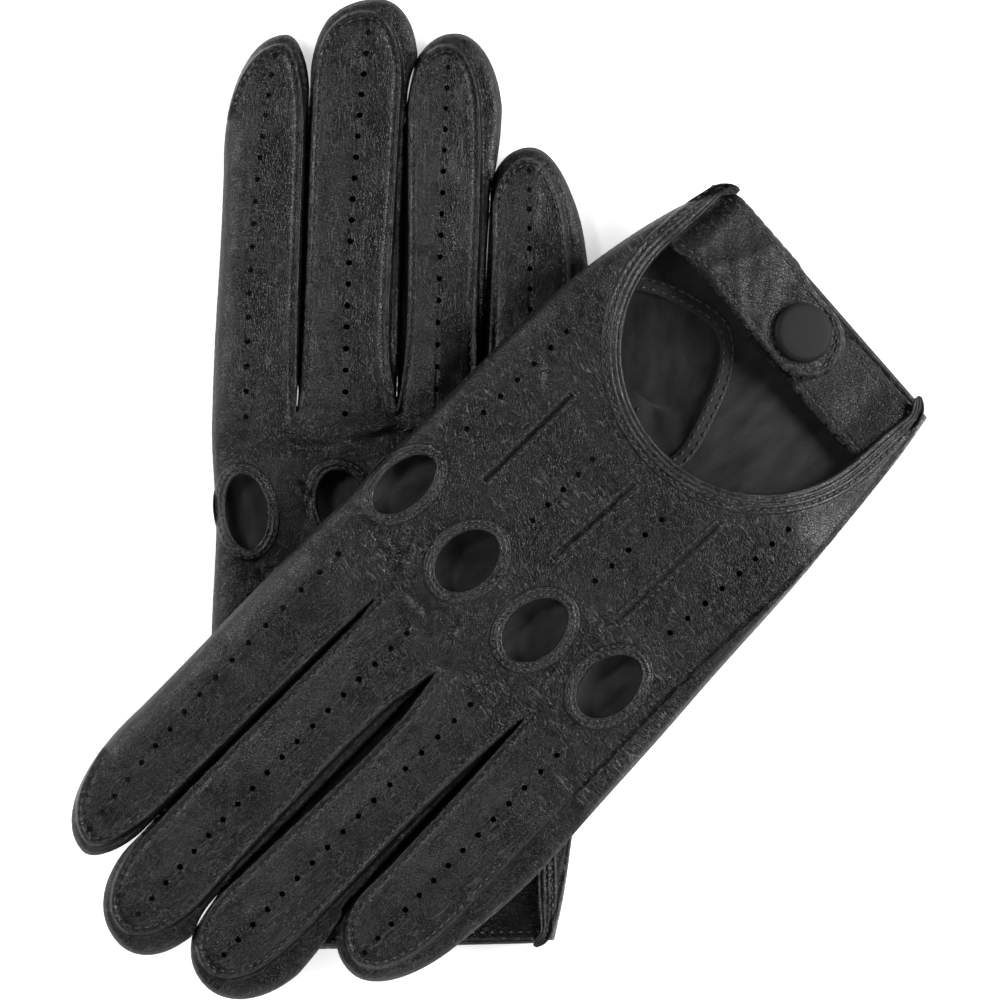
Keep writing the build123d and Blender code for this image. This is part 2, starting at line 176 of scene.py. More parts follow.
THUMB_AT = (-20.0, 57.0)
THUMB_LEAN = 8.0
THUMB_LENGTH = 60.0
THUMB_HEEL = 6.0
THUMB_HALF_WIDTH = 12.4
THUMB_HALF_HEIGHT = 2.05
THUMB_TIP = 12.0  # length of the thumb's round tip
THUMB_RING = 44  # points round the sleeve
GUSSET_CENTRE = (-17.0, 43.5)
GUSSET_OUTLINE = (
    (-8.0, 26.4), (-3.2, 32.0), (1.2, 41.0), (4.6, 51.0), (2.6, 59.0), (-5.0, 63.0), (-17.0, 63.5),
    (-28.0, 60.5), (-35.4, 53.0), (-37.0, 43.5), (-34.5, 35.0), (-29.0, 30.0), (-21.0, 26.3), (-13.5, 24.4),
)

# Rows of punched holes: start, the point the row bends towards, end, count
PUNCH_RADIUS = 0.75
PUNCH_ROWS = (
    ((-34.3, 87.1), (-35.4, 64), (-36.4, 41.9), 9),
    ((-6.9, 89.8), (-7.6, 79), (-8.4, 69.0), 5),
    ((14.3, 88.1), (14.0, 77), (13.8, 66.0), 5),
    ((35.9, 82.8), (36.4, 63), (36.0, 44.4), 8),
    ((-32.1, 130.8), (-30.4, 182), (-21.9, 221.0), 17),
    ((-6.6, 131.0), (-4.6, 180), (1.6, 226.0), 19),
    ((16.8, 130.9), (19.2, 176), (22.9, 216.8), 17),
    ((40.0, 123.3), (42.4, 160), (45.2, 190.5), 14),
)
PINTUCKS = (((-21.9, 92.5), (-23.5, 61.9)), ((3.4, 92.5), (3.1, 65.0)), ((25.4, 91.3), (24.0, 56.3)))

STRAP_HALF_WIDTH = 10.0
STRAP_BASE_X = -36.5
STRAP_ROUND_X = 3.2
STRAP_GRAIN = 28.0  # degrees that the strap's creases run off its length
STRAP_SEAM = 2.1  # its stitches' distance from the edge
STRAP_MIDDLE = 7.46  # height of the joint between the strap's leather and its lining
LINING_MIDDLE = 7.05
ROOT_DROP = 2.9  # how far the strap's root bends down
TAB_BASE_X = 36.5
TAB_END_X = -8.0
TAB_MIDDLE = 2.48
TAB_LINING_MIDDLE = 2.05
SNAP_X = 1.3
SNAP_RING = 8.7  # radius of the stitches round the cap
LOWEST = 0.25  # nothing of the gusset hangs lower over the table

# Where the pieces lie in the materials' space, so that no two show the same patch of grain
EDGE_LAYER = 40.0
INSIDE_LAYER = 60.0
PALM_LAYER = 80.0
THUMB_PATCH = (600.0, 140.0, 0.0)
GUSSET_PATCH = (900.0, 0.0, 20.0)


def smooth(t):
    t = np.clip(t, 0.0, 1.0)
    return t * t * (3 - 2 * t)


def rounded(t, power=2.2):
    """Rises from 0 at t 0 with a vertical start to 1 at t 1."""
    t = np.clip(t, 0.0, 1.0)
    return (1 - (1 - t) ** power) ** (1 / power)


def bump(distance, width):
    return np.exp(-((distance / width) ** 2))


# ---------------------------------------------------------------- curves

def spline(points, step=LINE_STEP):
    """A Catmull-Rom curve through points, resampled evenly."""
    p = np.array(points, float)
    ends = np.vstack([2 * p[0] - p[1], p, 2 * p[-1] - p[-2]])
    t = np.linspace(0, 1, 24, endpoint=False)[:, None]
    parts = []
    for a, b, c, d in zip(ends, ends[1:], ends[2:], ends[3:]):
        square = (2 * a - 5 * b + 4 * c - d) * t ** 2
        cube = (3 * b - a - 3 * c + d) * t ** 3
        parts.append(0.5 * (2 * b + (c - a) * t + square + cube))
    return resample(np.vstack(parts + [p[-1:]]), step)


def arc_lengths(line):
    return np.r_[0, np.cumsum(np.linalg.norm(np.diff(line, axis=0), axis=1))]


def resample(line, step):
    lengths = arc_lengths(line)
    count = max(2, int(round(lengths[-1] / step)) + 1)
    marks = np.linspace(0, lengths[-1], count)
    return np.column_stack([np.interp(marks, lengths, line[:, k]) for k in range(line.shape[1])])


def quarter(start, tip, power=2.1, count=24):
    """A rounded corner from a finger's side to its tip."""
    angle = np.linspace(0, math.pi / 2, count)[1:-1, None]
    start, tip = np.array(start, float), np.array(tip, float)
    across = 1 - np.cos(angle) ** (2 / power)
    along = np.sin(angle) ** (2 / power)
    return np.column_stack([start[0] + (tip[0] - start[0]) * across, start[1] + (tip[1] - start[1]) * along])


def finger_line(kind, name):
    left, tip, right = FINGERS[name][kind]
    return np.vstack([left, quarter(left[-1], tip), [tip], quarter(right[-1], tip)[::-1], right[::-1]])


def pattern_line(kind, right_edge, crotch_rise):
    """The pattern's edge from the cuff's index corner, round the fingers, to its other corner."""
    line = [np.array(HAND_LEFT, float)]
    for number, name in enumerate(NAMES):
        line.append(finger_line(kind, name))
        if number < len(CROTCHES):
            x, y = CROTCHES[number][0], CROTCHES[number][1] + crotch_rise
            shoulder = y + CROTCH_ROUND
            left, right = x - CROTCH_HALF_WIDTH, x + CROTCH_HALF_WIDTH
            line.append(np.array([[left, shoulder], [x, y], [right, shoulder]]))
    line.append(np.array(right_edge[::-1], float))
    return resample(chaikin(chaikin(np.vstack(line))), LINE_STEP)


def chaikin(line):
    """Cuts every corner once, which keeps the ends."""
    inner = np.empty((2 * (len(line) - 1), 2))
    inner[0::2] = 0.75 * line[:-1] + 0.25 * line[1:]
    inner[1::2] = 0.25 * line[:-1] + 0.75 * line[1:]
    return np.vstack([line[:1], inner, line[-1:]])


def opening_line(radius, low=0.0):
    """The wrist opening: straight sides up from the cuff, then round over the back of the hand."""
    cx, cy = OPENING_CENTRE
    angle = np.linspace(math.pi, 0, 60)
    arc = np.column_stack([cx + radius * np.cos(angle), cy + radius * np.sin(angle)])
    return resample(np.vstack([[cx - radius, low], arc, [cx + radius, low]]), LINE_STEP)


def ellipse(centre, halves, step=LINE_STEP):
    count = int(2 * math.pi * max(halves) / step)
    angle = np.linspace(0, 2 * math.pi, count, endpoint=False)
    return np.column_stack([centre[0] + halves[0] * np.cos(angle), centre[1] + halves[1] * np.sin(angle)])


def gusset_line(count, grow=0.0):
    """The hole in the palm, as points at even angles round its centre."""
    points = np.array(GUSSET_OUTLINE) - GUSSET_CENTRE
    around = spline(np.vstack([points, points[:3]]), 0.5)
    turn = np.arctan2(around[:, 1], around[:, 0]) % (2 * math.pi)
    order = np.argsort(turn)
    angle = np.linspace(0, 2 * math.pi, count, endpoint=False)
    radius = np.interp(angle, turn[order], np.hypot(*around[order].T), period=2 * math.pi) + grow
    return np.column_stack([radius * np.cos(angle), radius * np.sin(angle)]) + GUSSET_CENTRE


def bezier_row(start, control, end, count):
    t = np.linspace(0, 1, count)[:, None]
    return (1 - t) ** 2 * np.array(start) + 2 * t * (1 - t) * np.array(control) + t ** 2 * np.array(end)


def outward(path, closed):
    if closed:
        tangent = np.roll(path, -1, axis=0) - np.roll(path, 1, axis=0)
    else:
        tangent = np.gradient(path, axis=0)
    normal = np.column_stack([tangent[:, 1], -tangent[:, 0]])
    return normal / np.linalg.norm(normal, axis=1)[:, None]


# ---------------------------------------------------------------- distances

def point_tree(points):
    """A search tree over flat points."""
    tree = KDTree(len(points) + 1)
    for index, (x, y) in enumerate(points):
        tree.insert((x, y, 0), index)
    tree.balance()
    return tree


class Line:
    """A polyline that tells how far points are from it, and where along it."""

    def __init__(self, points, closed=False):
        whole = np.vstack([points, points[:1]]) if closed else np.asarray(points, float)
        dense = resample(whole, 0.25)
        self.arc = arc_lengths(dense)
        self.tree = point_tree(dense)

    def measure(self, points):
        found = [self.tree.find((x, y, 0)) for x, y in points]
        return np.array([f[2] for f in found]), self.arc[[f[1] for f in found]]


def inside(points, polygon):
    """Which points lie inside a closed polygon."""
    result = np.zeros(len(points), bool)
    x, y = points[:, 0], points[:, 1]
    for (ax, ay), (bx, by) in zip(polygon, np.roll(polygon, -1, axis=0)):
        if ay == by:
            continue
        crosses = (ay > y) != (by > y)
        result ^= crosses & (x < (bx - ax) * (y - ay) / (by - ay) + ax)
    return result


OUTER = pattern_line("outer", HAND_RIGHT, OUTER_CROTCH_RISE)
PANEL = pattern_line("panel", SEAM_RIGHT, 0.0)
FOLD_END = int(np.argmax(OUTER[:, 1] > 205))  # the fold runs up to the index finger's tip
outer_line = Line(OUTER)
panel_line = Line(PANEL)
fold_line = Line(OUTER[:FOLD_END])
tuck_lines = [Line(np.array(tuck, float)) for tuck in PINTUCKS]
PUNCHES = np.vstack([bezier_row(*row) for row in PUNCH_ROWS])
punch_lines = [resample(bezier_row(*row[:3], 40), LINE_STEP) for row in PUNCH_ROWS]
punch_measures = [Line(line) for line in punch_lines]


def fields(points):
    """What the heights depend on at each pattern point: distances from the outer edge, the panels' edge
    (negative outside them), the index side's fold and the nearest row of holes, and the place along the
    panels' edge."""
    outer, _ = outer_line.measure(points)
    panel, along = panel_line.measure(points)
    in_panel = inside(points, PANEL)
    fold, _ = fold_line.measure(points)
    row = np.min([line.measure(points)[0] for line in punch_measures], axis=0)
    signed = np.where(in_panel, panel, -panel)
    return {"outer": outer, "panel": signed, "along": along, "fold": fold, "row": row}


def noise_at(points, scale, seed, stretch=(1.0, 1.0)):
    sx, sy = stretch
    return np.array([noise.noise((x * sx / scale, y * sy / scale, seed)) for x, y in points])


def waves(points, seed, layers):
    """Sums layers of noise, each given as depth, scale, seed step and stretch."""
    total = 0.0
    for depth, scale, step, stretch in layers:
        total = total + depth * noise_at(points, scale, seed + step, stretch)
    return total


# Unevenness of the leather: depth, scale, seed step, stretch
BACK_WAVES = (
    (0.55, 17, 0, (1.0, 1.0)),
    (0.36, 8, 5, (1.0, 1.0)),
    (0.28, 5.0, 9, (0.35, 1.0)),
    (0.14, 2.6, 13, (1.0, 1.0)),
)
PALM_WAVES = ((0.5, 15, 31, (1.0, 1.0)), (0.22, 6, 37, (0.5, 1.0)))
STRAP_WAVES = ((0.45, 7.0, 51, (0.3, 1.0)), (0.26, 3.0, 53, (0.4, 1.0)))
TAB_WAVES = ((0.25, 6.0, 61, (1.0, 0.5)),)


def seam_relief(x, y, f):
    """A raised seam with a stitched groove round each finger's panel, and a sunk one down the hand."""
    inner = np.maximum(f["panel"], 0)
    off_fold = smooth((x + 30 + np.maximum(0, y - 195)) / 6) * smooth((f["fold"] - 2) / 3)
    on_finger = smooth((y - 118) / 6) * (1 - smooth((x - 44) / 4))
    raised = 0.60 * bump(inner - 0.35, 0.55) - 0.50 * bump(inner - 1.55, 0.45)
    sunk = 0.9 * bump(f["panel"], 0.35) - 0.3 * bump(f["panel"] + 1.1, 0.8)
    return off_fold * (on_finger * raised - (1 - on_finger) * sunk)


def row_relief(points, y, f, glove):
    """The leather swells along a row of holes, most on the fingers, and dips at the row itself."""
    on_finger = smooth((y - 126) / 6)
    uneven = 0.75 + 1.1 * noise_at(points, 13, glove.seed + 71, (0.4, 1.0))
    swell = (0.10 + 0.75 * on_finger) * uneven * bump(f["row"], 3.4)
    return swell - (0.16 + 0.1 * on_finger) * bump(f["row"], 0.4)


def tip_gathers(x, y, f):
    """Small gathers in the seams at the fingertips."""
    tips = smooth((y - 207) / 8) + smooth((x - 30) / 3) * smooth((y - 180) / 7)
    gathers = np.sin(f["along"] * 2 * math.pi / 2.3) * bump(f["panel"] - 0.4, 1.9)
    return 0.24 * np.clip(tips, 0, 1) * gathers


def tuck_relief(points):
    """A pintuck is a stitched groove with a raised fold on both sides."""
    height = 0.0
    for line in tuck_lines:
        away, _ = line.measure(points)
        height += 0.5 * bump(away - 0.75, 0.5) - 0.75 * bump(away, 0.36) - 0.2 * bump(away - 1.5, 0.45)
    return height


def crease_relief(x, y, creases):
    """Soft creases between two points, with a wandering line and a lip along one side."""
    height = 0.0
    for (ax, ay), (bx, by), width, depth in creases:
        along = np.array([bx - ax, by - ay])
        t = np.clip(((x - ax) * along[0] + (y - ay) * along[1]) / (along @ along), 0, 1)
        wander = 0.6 * np.sin(t * 9 + ax) + 0.35 * np.sin(t * 23 + ay)
        side = np.array([-along[1], along[0]]) / np.linalg.norm(along)
        dx, dy = x - ax - t * along[0], y - ay - t * along[1]
        off = dx * side[0] + dy * side[1] - wander
        beyond = np.hypot(dx, dy) ** 2 - (off + wander) ** 2
        fade = np.sin(math.pi * np.clip(t, 0.02, 0.98)) * np.exp(-np.maximum(beyond, 0) / width ** 2)
        lip = 0.55 * bump(off - 1.9 * width, width)
        height += fade * depth * CREASE_DEPTH * (lip - bump(off, width))
    return height


def top_height(points, f, glove):
    """Height of the leather's outside on the back of the hand."""
    x, y = points[:, 0], points[:, 1]
    crown = 1 - (1 - np.clip(f["panel"] / 9.5, 0, 1)) ** 2
    rise = HAND_TOP - EDGE_TOP + FINGER_RISE * smooth((y - FINGERS_START) / 14)
    height = (EDGE_TOP + rise * crown) * rounded(f["fold"] / FOLD)
    height += seam_relief(x, y, f) + row_relief(points, y, f, glove) + tip_gathers(x, y, f)
    wall = np.maximum(-f["panel"], 0)
    share = f["outer"] / (f["outer"] + wall + 1e-6)
    sunk = 1 - 0.42 * smooth(wall / 0.5) * smooth((y - FINGERS_START) / 6)
    height = np.where(f["panel"] < 0, height * rounded(share, 2.6) * sunk, height)
    height += tuck_relief(points)
    soften = smooth(f["outer"] / 3)
    return height + soften * (waves(points, glove.seed, BACK_WAVES) + crease_relief(x, y, glove.creases))


def palm_height(points, f, glove):
    """Height of the leather's outside on the palm."""
    on_hand = 1 - smooth((points[:, 1] - 122) / 12)
    depth = PALM_DEPTH + HAND_PALM_EXTRA * on_hand
    uneven = smooth(f["outer"] / 4) * waves(points, glove.seed, PALM_WAVES)
    return uneven - depth * rounded(f["outer"] / 6.5)


# ---------------------------------------------------------------- triangulation

def beside(line, distances, closed=False):
    """Rows of points beside a line, so that the mesh can follow a narrow fold there."""
    normal = outward(line, closed)
    measure = Line(line, closed).measure
    rows = []
    for distance in distances:
        row = line + normal * distance
        away, _ = measure(row)
        rows.append(row[away > 0.9 * abs(distance)])
    return np.vstack(rows)


def thinned(points, tree, tight):
    """Those points that are not closer together than tight, and not on the tree's points."""
    cells, kept = {}, []
    for x, y in points:
        i, j = int(x // tight), int(y // tight)
        near = [q for di in (-1, 0, 1) for dj in (-1, 0, 1) for q in cells.get((i + di, j + dj), ())]
        if all(math.hypot(x - q[0], y - q[1]) > tight for q in near) and tree.find((x, y, 0))[2] > 0.1:
            cells.setdefault((i, j), []).append((x, y))
            kept.append((x, y))
    return kept


def triangle_grid(low, high, spacing):
    """Points of a grid of even triangles."""
    grid = []
    for number, row_y in enumerate(np.arange(low[1], high[1], spacing * 0.866)):
        xs = np.arange(low[0] + (number % 2) * spacing / 2, high[0], spacing)
        grid.append(np.column_stack([xs, np.full(len(xs), row_y)]))
    return np.vstack(grid)


def compacted(faces, count):
    """The vertices that faces use, and the faces renumbered to them."""
    used = np.unique(faces)
    renumber = np.full(count, -1)
    renumber[used] = np.arange(len(used))
    return used, renumber[faces]


def triangulate(loops, keep, spacing, rows=(), clear=0.62, tight=0.3):
    """Triangles between the loops. keep tells which points belong. rows are extra points beside folds;
    those closer together than tight are dropped. Returns points and triangles."""
    points, edges = [], []
    for loop, closed in loops:
        first = len(points)
        points.extend(map(tuple, loop))
        last = len(points) - 1
        edges.extend((a, a + 1) for a in range(first, last))
        if closed:
            edges.append((last, first))
    tree = point_tree(points)
    extra = thinned(np.vstack(rows), tree, tight) if len(rows) else []
    grid = triangle_grid(np.array(points).min(0), np.array(points).max(0), spacing)
    for crowd in [tree] + ([point_tree(extra)] if extra else []):
        near = np.array([crowd.find((x, y, 0))[2] for x, y in grid])
        grid = grid[near > clear * spacing]
    added = np.vstack([np.array(extra).reshape(-1, 2), grid])
    added = added[keep(added)]
    everything = [Vector(p) for p in points] + [Vector(p) for p in added]
    verts, _, faces, *_ = delaunay_2d_cdt(everything, edges, [], 0, 1e-5)
    verts = np.array([tuple(v) for v in verts])
    faces = np.array([f for f in faces if len(f) == 3])
    used, faces = compacted(faces[keep(verts[faces].mean(axis=1))], len(verts))
    return verts[used], faces


def in_loops(points, outline, holes):
    result = inside(points, outline)
    for hole in holes:
        result &= ~inside(points, hole)
    return result


# ---------------------------------------------------------------- gloves

class Glove:
    """One glove's place in the row frame, and how its fingers and its leather lie.

    strap_y: distance of the strap's centre line from the cuff. flare: how much wider the strap and tab
    get towards the cuff. cuff_z: the middle surface's height at the cuff, which climbs to the hand's over
    rise. roll: slope across the cuff, level again after roll_length. droop: degrees that the fingers sink.
    index_lean: degrees between the index finger and the hand. lay: how far the fingers lie to the side."""

    def __init__(
        self, side, strap_y, flare, cuff_z, roll, rise, roll_length, droop, index_lean, seed, creases, lay
    ):
        self.side = side
        self.strap_y = strap_y
        self.flare = flare
        self.cuff_z = cuff_z
        self.roll = roll
        self.rise = rise
        self.roll_length = roll_length
        self.droop = math.radians(droop)
        self.seed = seed
        self.creases = creases
        self.lay = lay
        self.mirror = -1.0 if side == "left" else 1.0
        self.body = f"{side}_glove"
        joints = {joint["name"]: joint for joint in frame["joints"]}
        across = joints[f"{side}_index_lift"]["axis"]
        self.turn = math.atan2(across[1], across[0]) + self.mirror * math.radians(index_lean)
        pivot = np.array(joints[f"{side}_thumb_swing"]["pos_m"]) / MM
        self.at = pivot[:2] - self.to_row_direction(np.array([THUMB_AT]))[0]
        self.hand_z = self.box_middle("knuckle_bindings") - KNUCKLE_RING_HEIGHT
        self.thumb_middle = self.box_middle("thumb")

    def box_middle(self, part):
        low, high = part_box(f"{self.side}_{part}")
        return (low[2] + high[2]) / 2 / MM

    def to_row_direction(self, xy):
        x, y = xy[:, 0] * self.mirror, xy[:, 1]
        c, s = math.cos(self.turn), math.sin(self.turn)
        return np.column_stack([x * c - y * s, x * s + y * c])

    def lie(self, xy):
        """Moves pattern points sideways to where this glove's fingers lie."""
        if not self.lay:
            return xy
        x, y = xy[:, 0], xy[:, 1]
        marks, shift, spread, shorten = self.lay
        beyond = np.maximum(0, y - 130)
        away = smooth((y - 100) / 30) * (np.interp(x, marks, shift) + np.interp(x, marks, spread) * beyond)
        return np.column_stack([x + away, y - shorten * beyond])

    def middle(self, xy):
        """Height of the middle surface over the table."""
        x, y = xy[:, 0], xy[:, 1]
        z = self.cuff_z + (self.hand_z - self.cuff_z) * smooth(y / self.rise)
        z = z + self.roll * (1 - smooth(y / self.roll_length)) * x
        beyond = y - np.interp(x, [28, 32], [127, 120])
        bend = np.where(beyond > 8, beyond, np.where(beyond < -8, 0, (beyond + 8) ** 2 / 32))
        return z - math.tan(self.droop) * bend

    def place(self, xy, height):
        """Pattern points and heights to the row frame, in metres."""
        lying = self.lie(xy)
        flat = self.to_row_direction(lying) + self.at
        return np.column_stack([flat, self.middle(lying) + height]) * MM

    def place_free(self, points):
        """Points in the glove's own millimetres, heights over the table, to the row frame."""
        flat = self.to_row_direction(points[:, :2]) + self.at
        return np.column_stack([flat, points[:, 2]]) * MM

    def give(self, obj, *parts, body=None):
        """Lets a piece ride on a body, the glove's own unless told, and stand in for CAD parts."""
        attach(obj, body or self.body)
        self.stand_in(obj, *parts)

    def bend(self, obj, body, start, end, *parts):
        """Bakes a piece's transform into its mesh and lets it stand in for CAD parts."""
        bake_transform(obj)
        self.stand_in(obj, *parts)

    def stand_in(self, obj, *parts):
        for part in parts:
            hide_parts(f"{self.side}_{part}")


# Creases: start, end, width, depth
RIGHT_CREASES = (
    ((-34, 122), (-8, 124), 1.0, 0.8),
    ((-8, 124), (22, 127), 0.9, 0.7),
    ((-40, 96), (-26, 92), 1.1, 0.5),
    ((-22, 118), (-17, 106), 1.0, 0.6),
    ((-41, 60), (-27, 66), 1.3, 0.5),
)
LEFT_CREASES = (
    ((-21, 126), (-22, 112), 1.3, 1.0),
    ((-16, 126), (-2, 121), 1.1, 0.7),
    ((-2, 98), (0, 112), 1.2, -0.8),
    ((2, 128), (-1, 119), 1.0, 0.6),
    ((8, 128), (18, 122), 1.1, 0.6),
    ((24, 119), (25, 108), 1.1, 0.7),
    ((30, 118), (40, 116), 1.1, 0.6),
    ((-40, 96), (-28, 93), 1.3, 0.5),
    ((-28, 119), (-38, 124), 1.2, 0.5),
    ((18, 92), (28, 96), 1.1, 0.5),
    ((42, 92), (48, 84), 1.2, 0.5),
    ((-36, 60), (-26, 66), 1.5, 0.5),
)
# How the right glove's fingers lie: at each X of the pattern a shift and a lean, and how much shorter
RIGHT_LAY = (
    (-30, -18, -7, 5, 18, 28, 42, 57),
    (-2.1, -3.6, -3.2, -2.2, -4.4, -4.6, -4.6, -4.9),
    (-0.004, 0.004, -0.014, -0.008, -0.003, -0.018, -0.052, -0.090),
    0.014,
)
GLOVES = (
    Glove(
        "right", strap_y=10.5, flare=0.4, cuff_z=6.0, roll=0.0, rise=50.0, roll_length=75.0, droop=2.5,
        index_lean=4.0, seed=3.7, creases=RIGHT_CREASES, lay=RIGHT_LAY,
    ),
    Glove(
        "left", strap_y=12.5, flare=1.7, cuff_z=12.2, roll=-0.14, rise=50.0, roll_length=75.0, droop=4.5,
        index_lean=4.6, seed=41.3, creases=LEFT_CREASES, lay=None,
    ),
)


# ---------------------------------------------------------------- meshes

def unit(vectors, smallest=1e-12):
    """The vectors' directions."""
    return vectors / np.maximum(np.linalg.norm(vectors, axis=-1), smallest)[..., None]


def vertex_normals(verts, faces):
    a, b, c = (verts[faces[:, k]] for k in range(3))
    face_normal = np.cross(b - a, c - a)
    total = np.zeros_like(verts)
    for k in range(3):
        np.add.at(total, faces[:, k], face_normal)
    return unit(total)


def smoothed(normals, faces, rounds=3):
    """Normals averaged with their neighbours', so that the leather's inside has no spikes."""
    for _ in range(rounds):
        total = normals.copy()
        for a, b in ((0, 1), (1, 2), (2, 0)):
            np.add.at(total, faces[:, a], normals[faces[:, b]])
            np.add.at(total, faces[:, b], normals[faces[:, a]])
        normals = unit(total)
    return normals


def make_object(name, verts, faces, loop_normals=None, pattern=None, materials=(), slots=None):
    """A mesh object. pattern is the point each vertex has on the flat leather, for the material."""
    mesh = bpy.data.meshes.new(name)
    mesh.from_pydata(verts.tolist(), [], [list(map(int, f)) for f in faces])
    for material in materials:
        mesh.materials.append(material)
    if slots is not None:
        mesh.polygons.foreach_set("material_index", np.asarray(slots, np.int32))
    mesh.polygons.foreach_set("use_smooth", np.ones(len(mesh.polygons), bool))
    if pattern is not None:
        attribute = mesh.attributes.new("pattern", "FLOAT_VECTOR", "POINT")
        attribute.data.foreach_set("vector", np.asarray(pattern, np.float32).ravel())
    mesh.update()
    if loop_normals is not None:
        mesh.normals_split_custom_set(loop_normals.tolist())
    obj = bpy.data.objects.new(name, mesh)
    bpy.context.scene.collection.objects.link(obj)
    return obj


def thick_piece(name, verts, faces, normals, inward, pattern, materials, thickness=LEATHER):
    """Leather of even thickness below the given outside, closed all round. verts are in metres, and
    inward points into the leather at each vertex."""
    used, faces = compacted(faces, len(verts))
    outside, normal, flat, depth = verts[used], normals[used], pattern[used], inward[used]
    count = len(used)
    edges = np.vstack([faces[:, [0, 1]], faces[:, [1, 2]], faces[:, [2, 0]]])
    _, first, counts = np.unique(np.sort(edges, axis=1), axis=0, return_index=True, return_counts=True)
    border = edges[first[counts == 1]]
    rims = np.column_stack([border[:, 1], border[:, 0], border[:, 0] + count, border[:, 1] + count])
    points = np.vstack([outside, outside + depth * thickness * MM])
    polygons = [tuple(f) for part in (faces, faces[:, ::-1] + count, rims) for f in part]
    corner = points[rims[:, 0]]
    rim_normal = unit(np.cross(points[rims[:, 1]] - corner, points[rims[:, 2]] - corner), 1e-15)
    loops = [normal[faces.ravel()], -normal[faces[:, ::-1].ravel()], np.repeat(rim_normal, 4, axis=0)]
    slots = np.r_[np.zeros(len(faces)), np.ones(len(faces)), np.zeros(len(rims))]
    return make_object(name, points, polygons, np.vstack(loops), np.vstack([flat, flat]), materials, slots)


def material_point(xy, glove, layer):
    """The material's own coordinates: pattern millimetres, with a different patch for each glove."""
    across = xy[:, 0] + (0.0 if glove.side == "left" else 300.0)
    return np.column_stack([across, xy[:, 1], np.full(len(xy), layer)])


# ---------------------------------------------------------------- materials

def grey(value, blue=None):
    return (value, value, value if blue is None else blue, 1)


class Nodes:
    """Small helper that adds shader nodes and links them."""

    def __init__(self, name):
        self.material = bpy.data.materials.new(name)
        self.material.use_nodes = True
        self.tree = self.material.node_tree
        self.shader = self.tree.nodes["Principled BSDF"]

    def node(self, kind, inputs=None, **settings):
        node = self.tree.nodes.new(kind)
        for key, value in settings.items():
            setattr(node, key, value)
        for key, value in (inputs or {}).items():
            self.set(node.inputs[key], value)
        return node

    def set(self, socket, value):
        if isinstance(value, bpy.types.NodeSocket):
            self.tree.links.new(value, socket)
        else:
            socket.default_value = value

    def maths(self, operation, a, b=0.0):
        return self.node("ShaderNodeMath", {0: a, 1: b}, operation=operation).outputs[0]

    def times(self, a, b):
        return self.maths("MULTIPLY", a, b)

    def plus(self, a, b):
        return self.maths("ADD", a, b)

    def ramp(self, value, low, high, to_low=0.0, to_high=1.0):
        limits = {"Value": value, "From Min": low, "From Max": high, "To Min": to_low, "To Max": to_high}
        return self.node("ShaderNodeMapRange", limits, clamp=True, interpolation_type="SMOOTHSTEP").outputs[0]

    def mix(self, share, a, b):
        node = self.node("ShaderNodeMix", {"Factor": share}, data_type="RGBA")
        self.set(node.inputs[6], a)
        self.set(node.inputs[7], b)
        return node.outputs[2]

    def noise(self, vector, scale, detail=3.0, rough=0.55):
        inputs = {"Vector": vector, "Scale": scale, "Detail": detail, "Roughness": rough}
        return self.node("ShaderNodeTexNoise", inputs).outputs["Fac"]

    def voronoi(self, vector, scale, feature):
        inputs = {"Vector": vector, "Scale": scale, "Randomness": 1.0}
        return self.node("ShaderNodeTexVoronoi", inputs, feature=feature).outputs["Distance"]

    def wave(self, vector, scale, distortion, direction, **more):
        inputs = {"Vector": vector, "Scale": scale, "Distortion": distortion, **more}
        return self.node("ShaderNodeTexWave", inputs, bands_direction=direction).outputs["Fac"]

    def wavy_lines(self, vector, scale):
        """Thin lines along the contours of a noise."""
        steps = self.times(self.noise(vector, scale, 2.5, 0.5), CREASE_STEPS)
        middle = self.maths("ABSOLUTE", self.maths("SUBTRACT", self.maths("FRACT", steps), 0.5))
        return self.ramp(middle, 0.5 * (1 - CREASE_THINNESS), 0.0)

    def scaled(self, vector, scale):
        return self.node("ShaderNodeMapping", {"Vector": vector, "Scale": scale}).outputs[0]

    def warped(self, vector, scale, amount):
        wobble = self.node("ShaderNodeTexNoise", {"Vector": vector, "Scale": scale, "Detail": 2.0})
        middle = {0: wobble.outputs["Color"], 1: (0.5, 0.5, 0.5)}
        centred = self.node("ShaderNodeVectorMath", middle, operation="SUBTRACT").outputs[0]
        push = {0: centred, "Scale": amount}
        pushed = self.node("ShaderNodeVectorMath", push, operation="SCALE").outputs[0]
        return self.node("ShaderNodeVectorMath", {0: vector, 1: pushed}, operation="ADD").outputs[0]

    def up_the_hand(self, vector):
        return self.node("ShaderNodeSeparateXYZ", {"Vector": vector}).outputs["Y"]

    def finish(self, color, roughness, height, distance, strength, specular):
        relief = {"Height": height, "Distance": distance, "Strength": strength}
        self.set(self.shader.inputs["Base Color"], color)
        self.set(self.shader.inputs["Roughness"], roughness)
        self.set(self.shader.inputs["Specular IOR Level"], specular)
        self.set(self.shader.inputs["Normal"], self.node("ShaderNodeBump", relief).outputs[0])
        return self.material

    def pattern(self):
        """The point on the flat leather, in millimetres."""
        return self.node("ShaderNodeAttribute", attribute_name="pattern").outputs["Vector"]

    def place(self):
        """The object's own coordinates, in millimetres."""
        return self.scaled(self.node("ShaderNodeTexCoord").outputs["Object"], (1 / MM, 1 / MM, 1 / MM))


CREASE_STEPS = 7.0
CREASE_THINNESS = 0.85
ACROSS_HAND = (0.26, 1.0, 1.0)
UP_FINGERS = (1.0, 0.12, 1.0)
CREASES_TURN = (126.0, 142.0)  # between these two Y the creases turn from across the hand to up the fingers


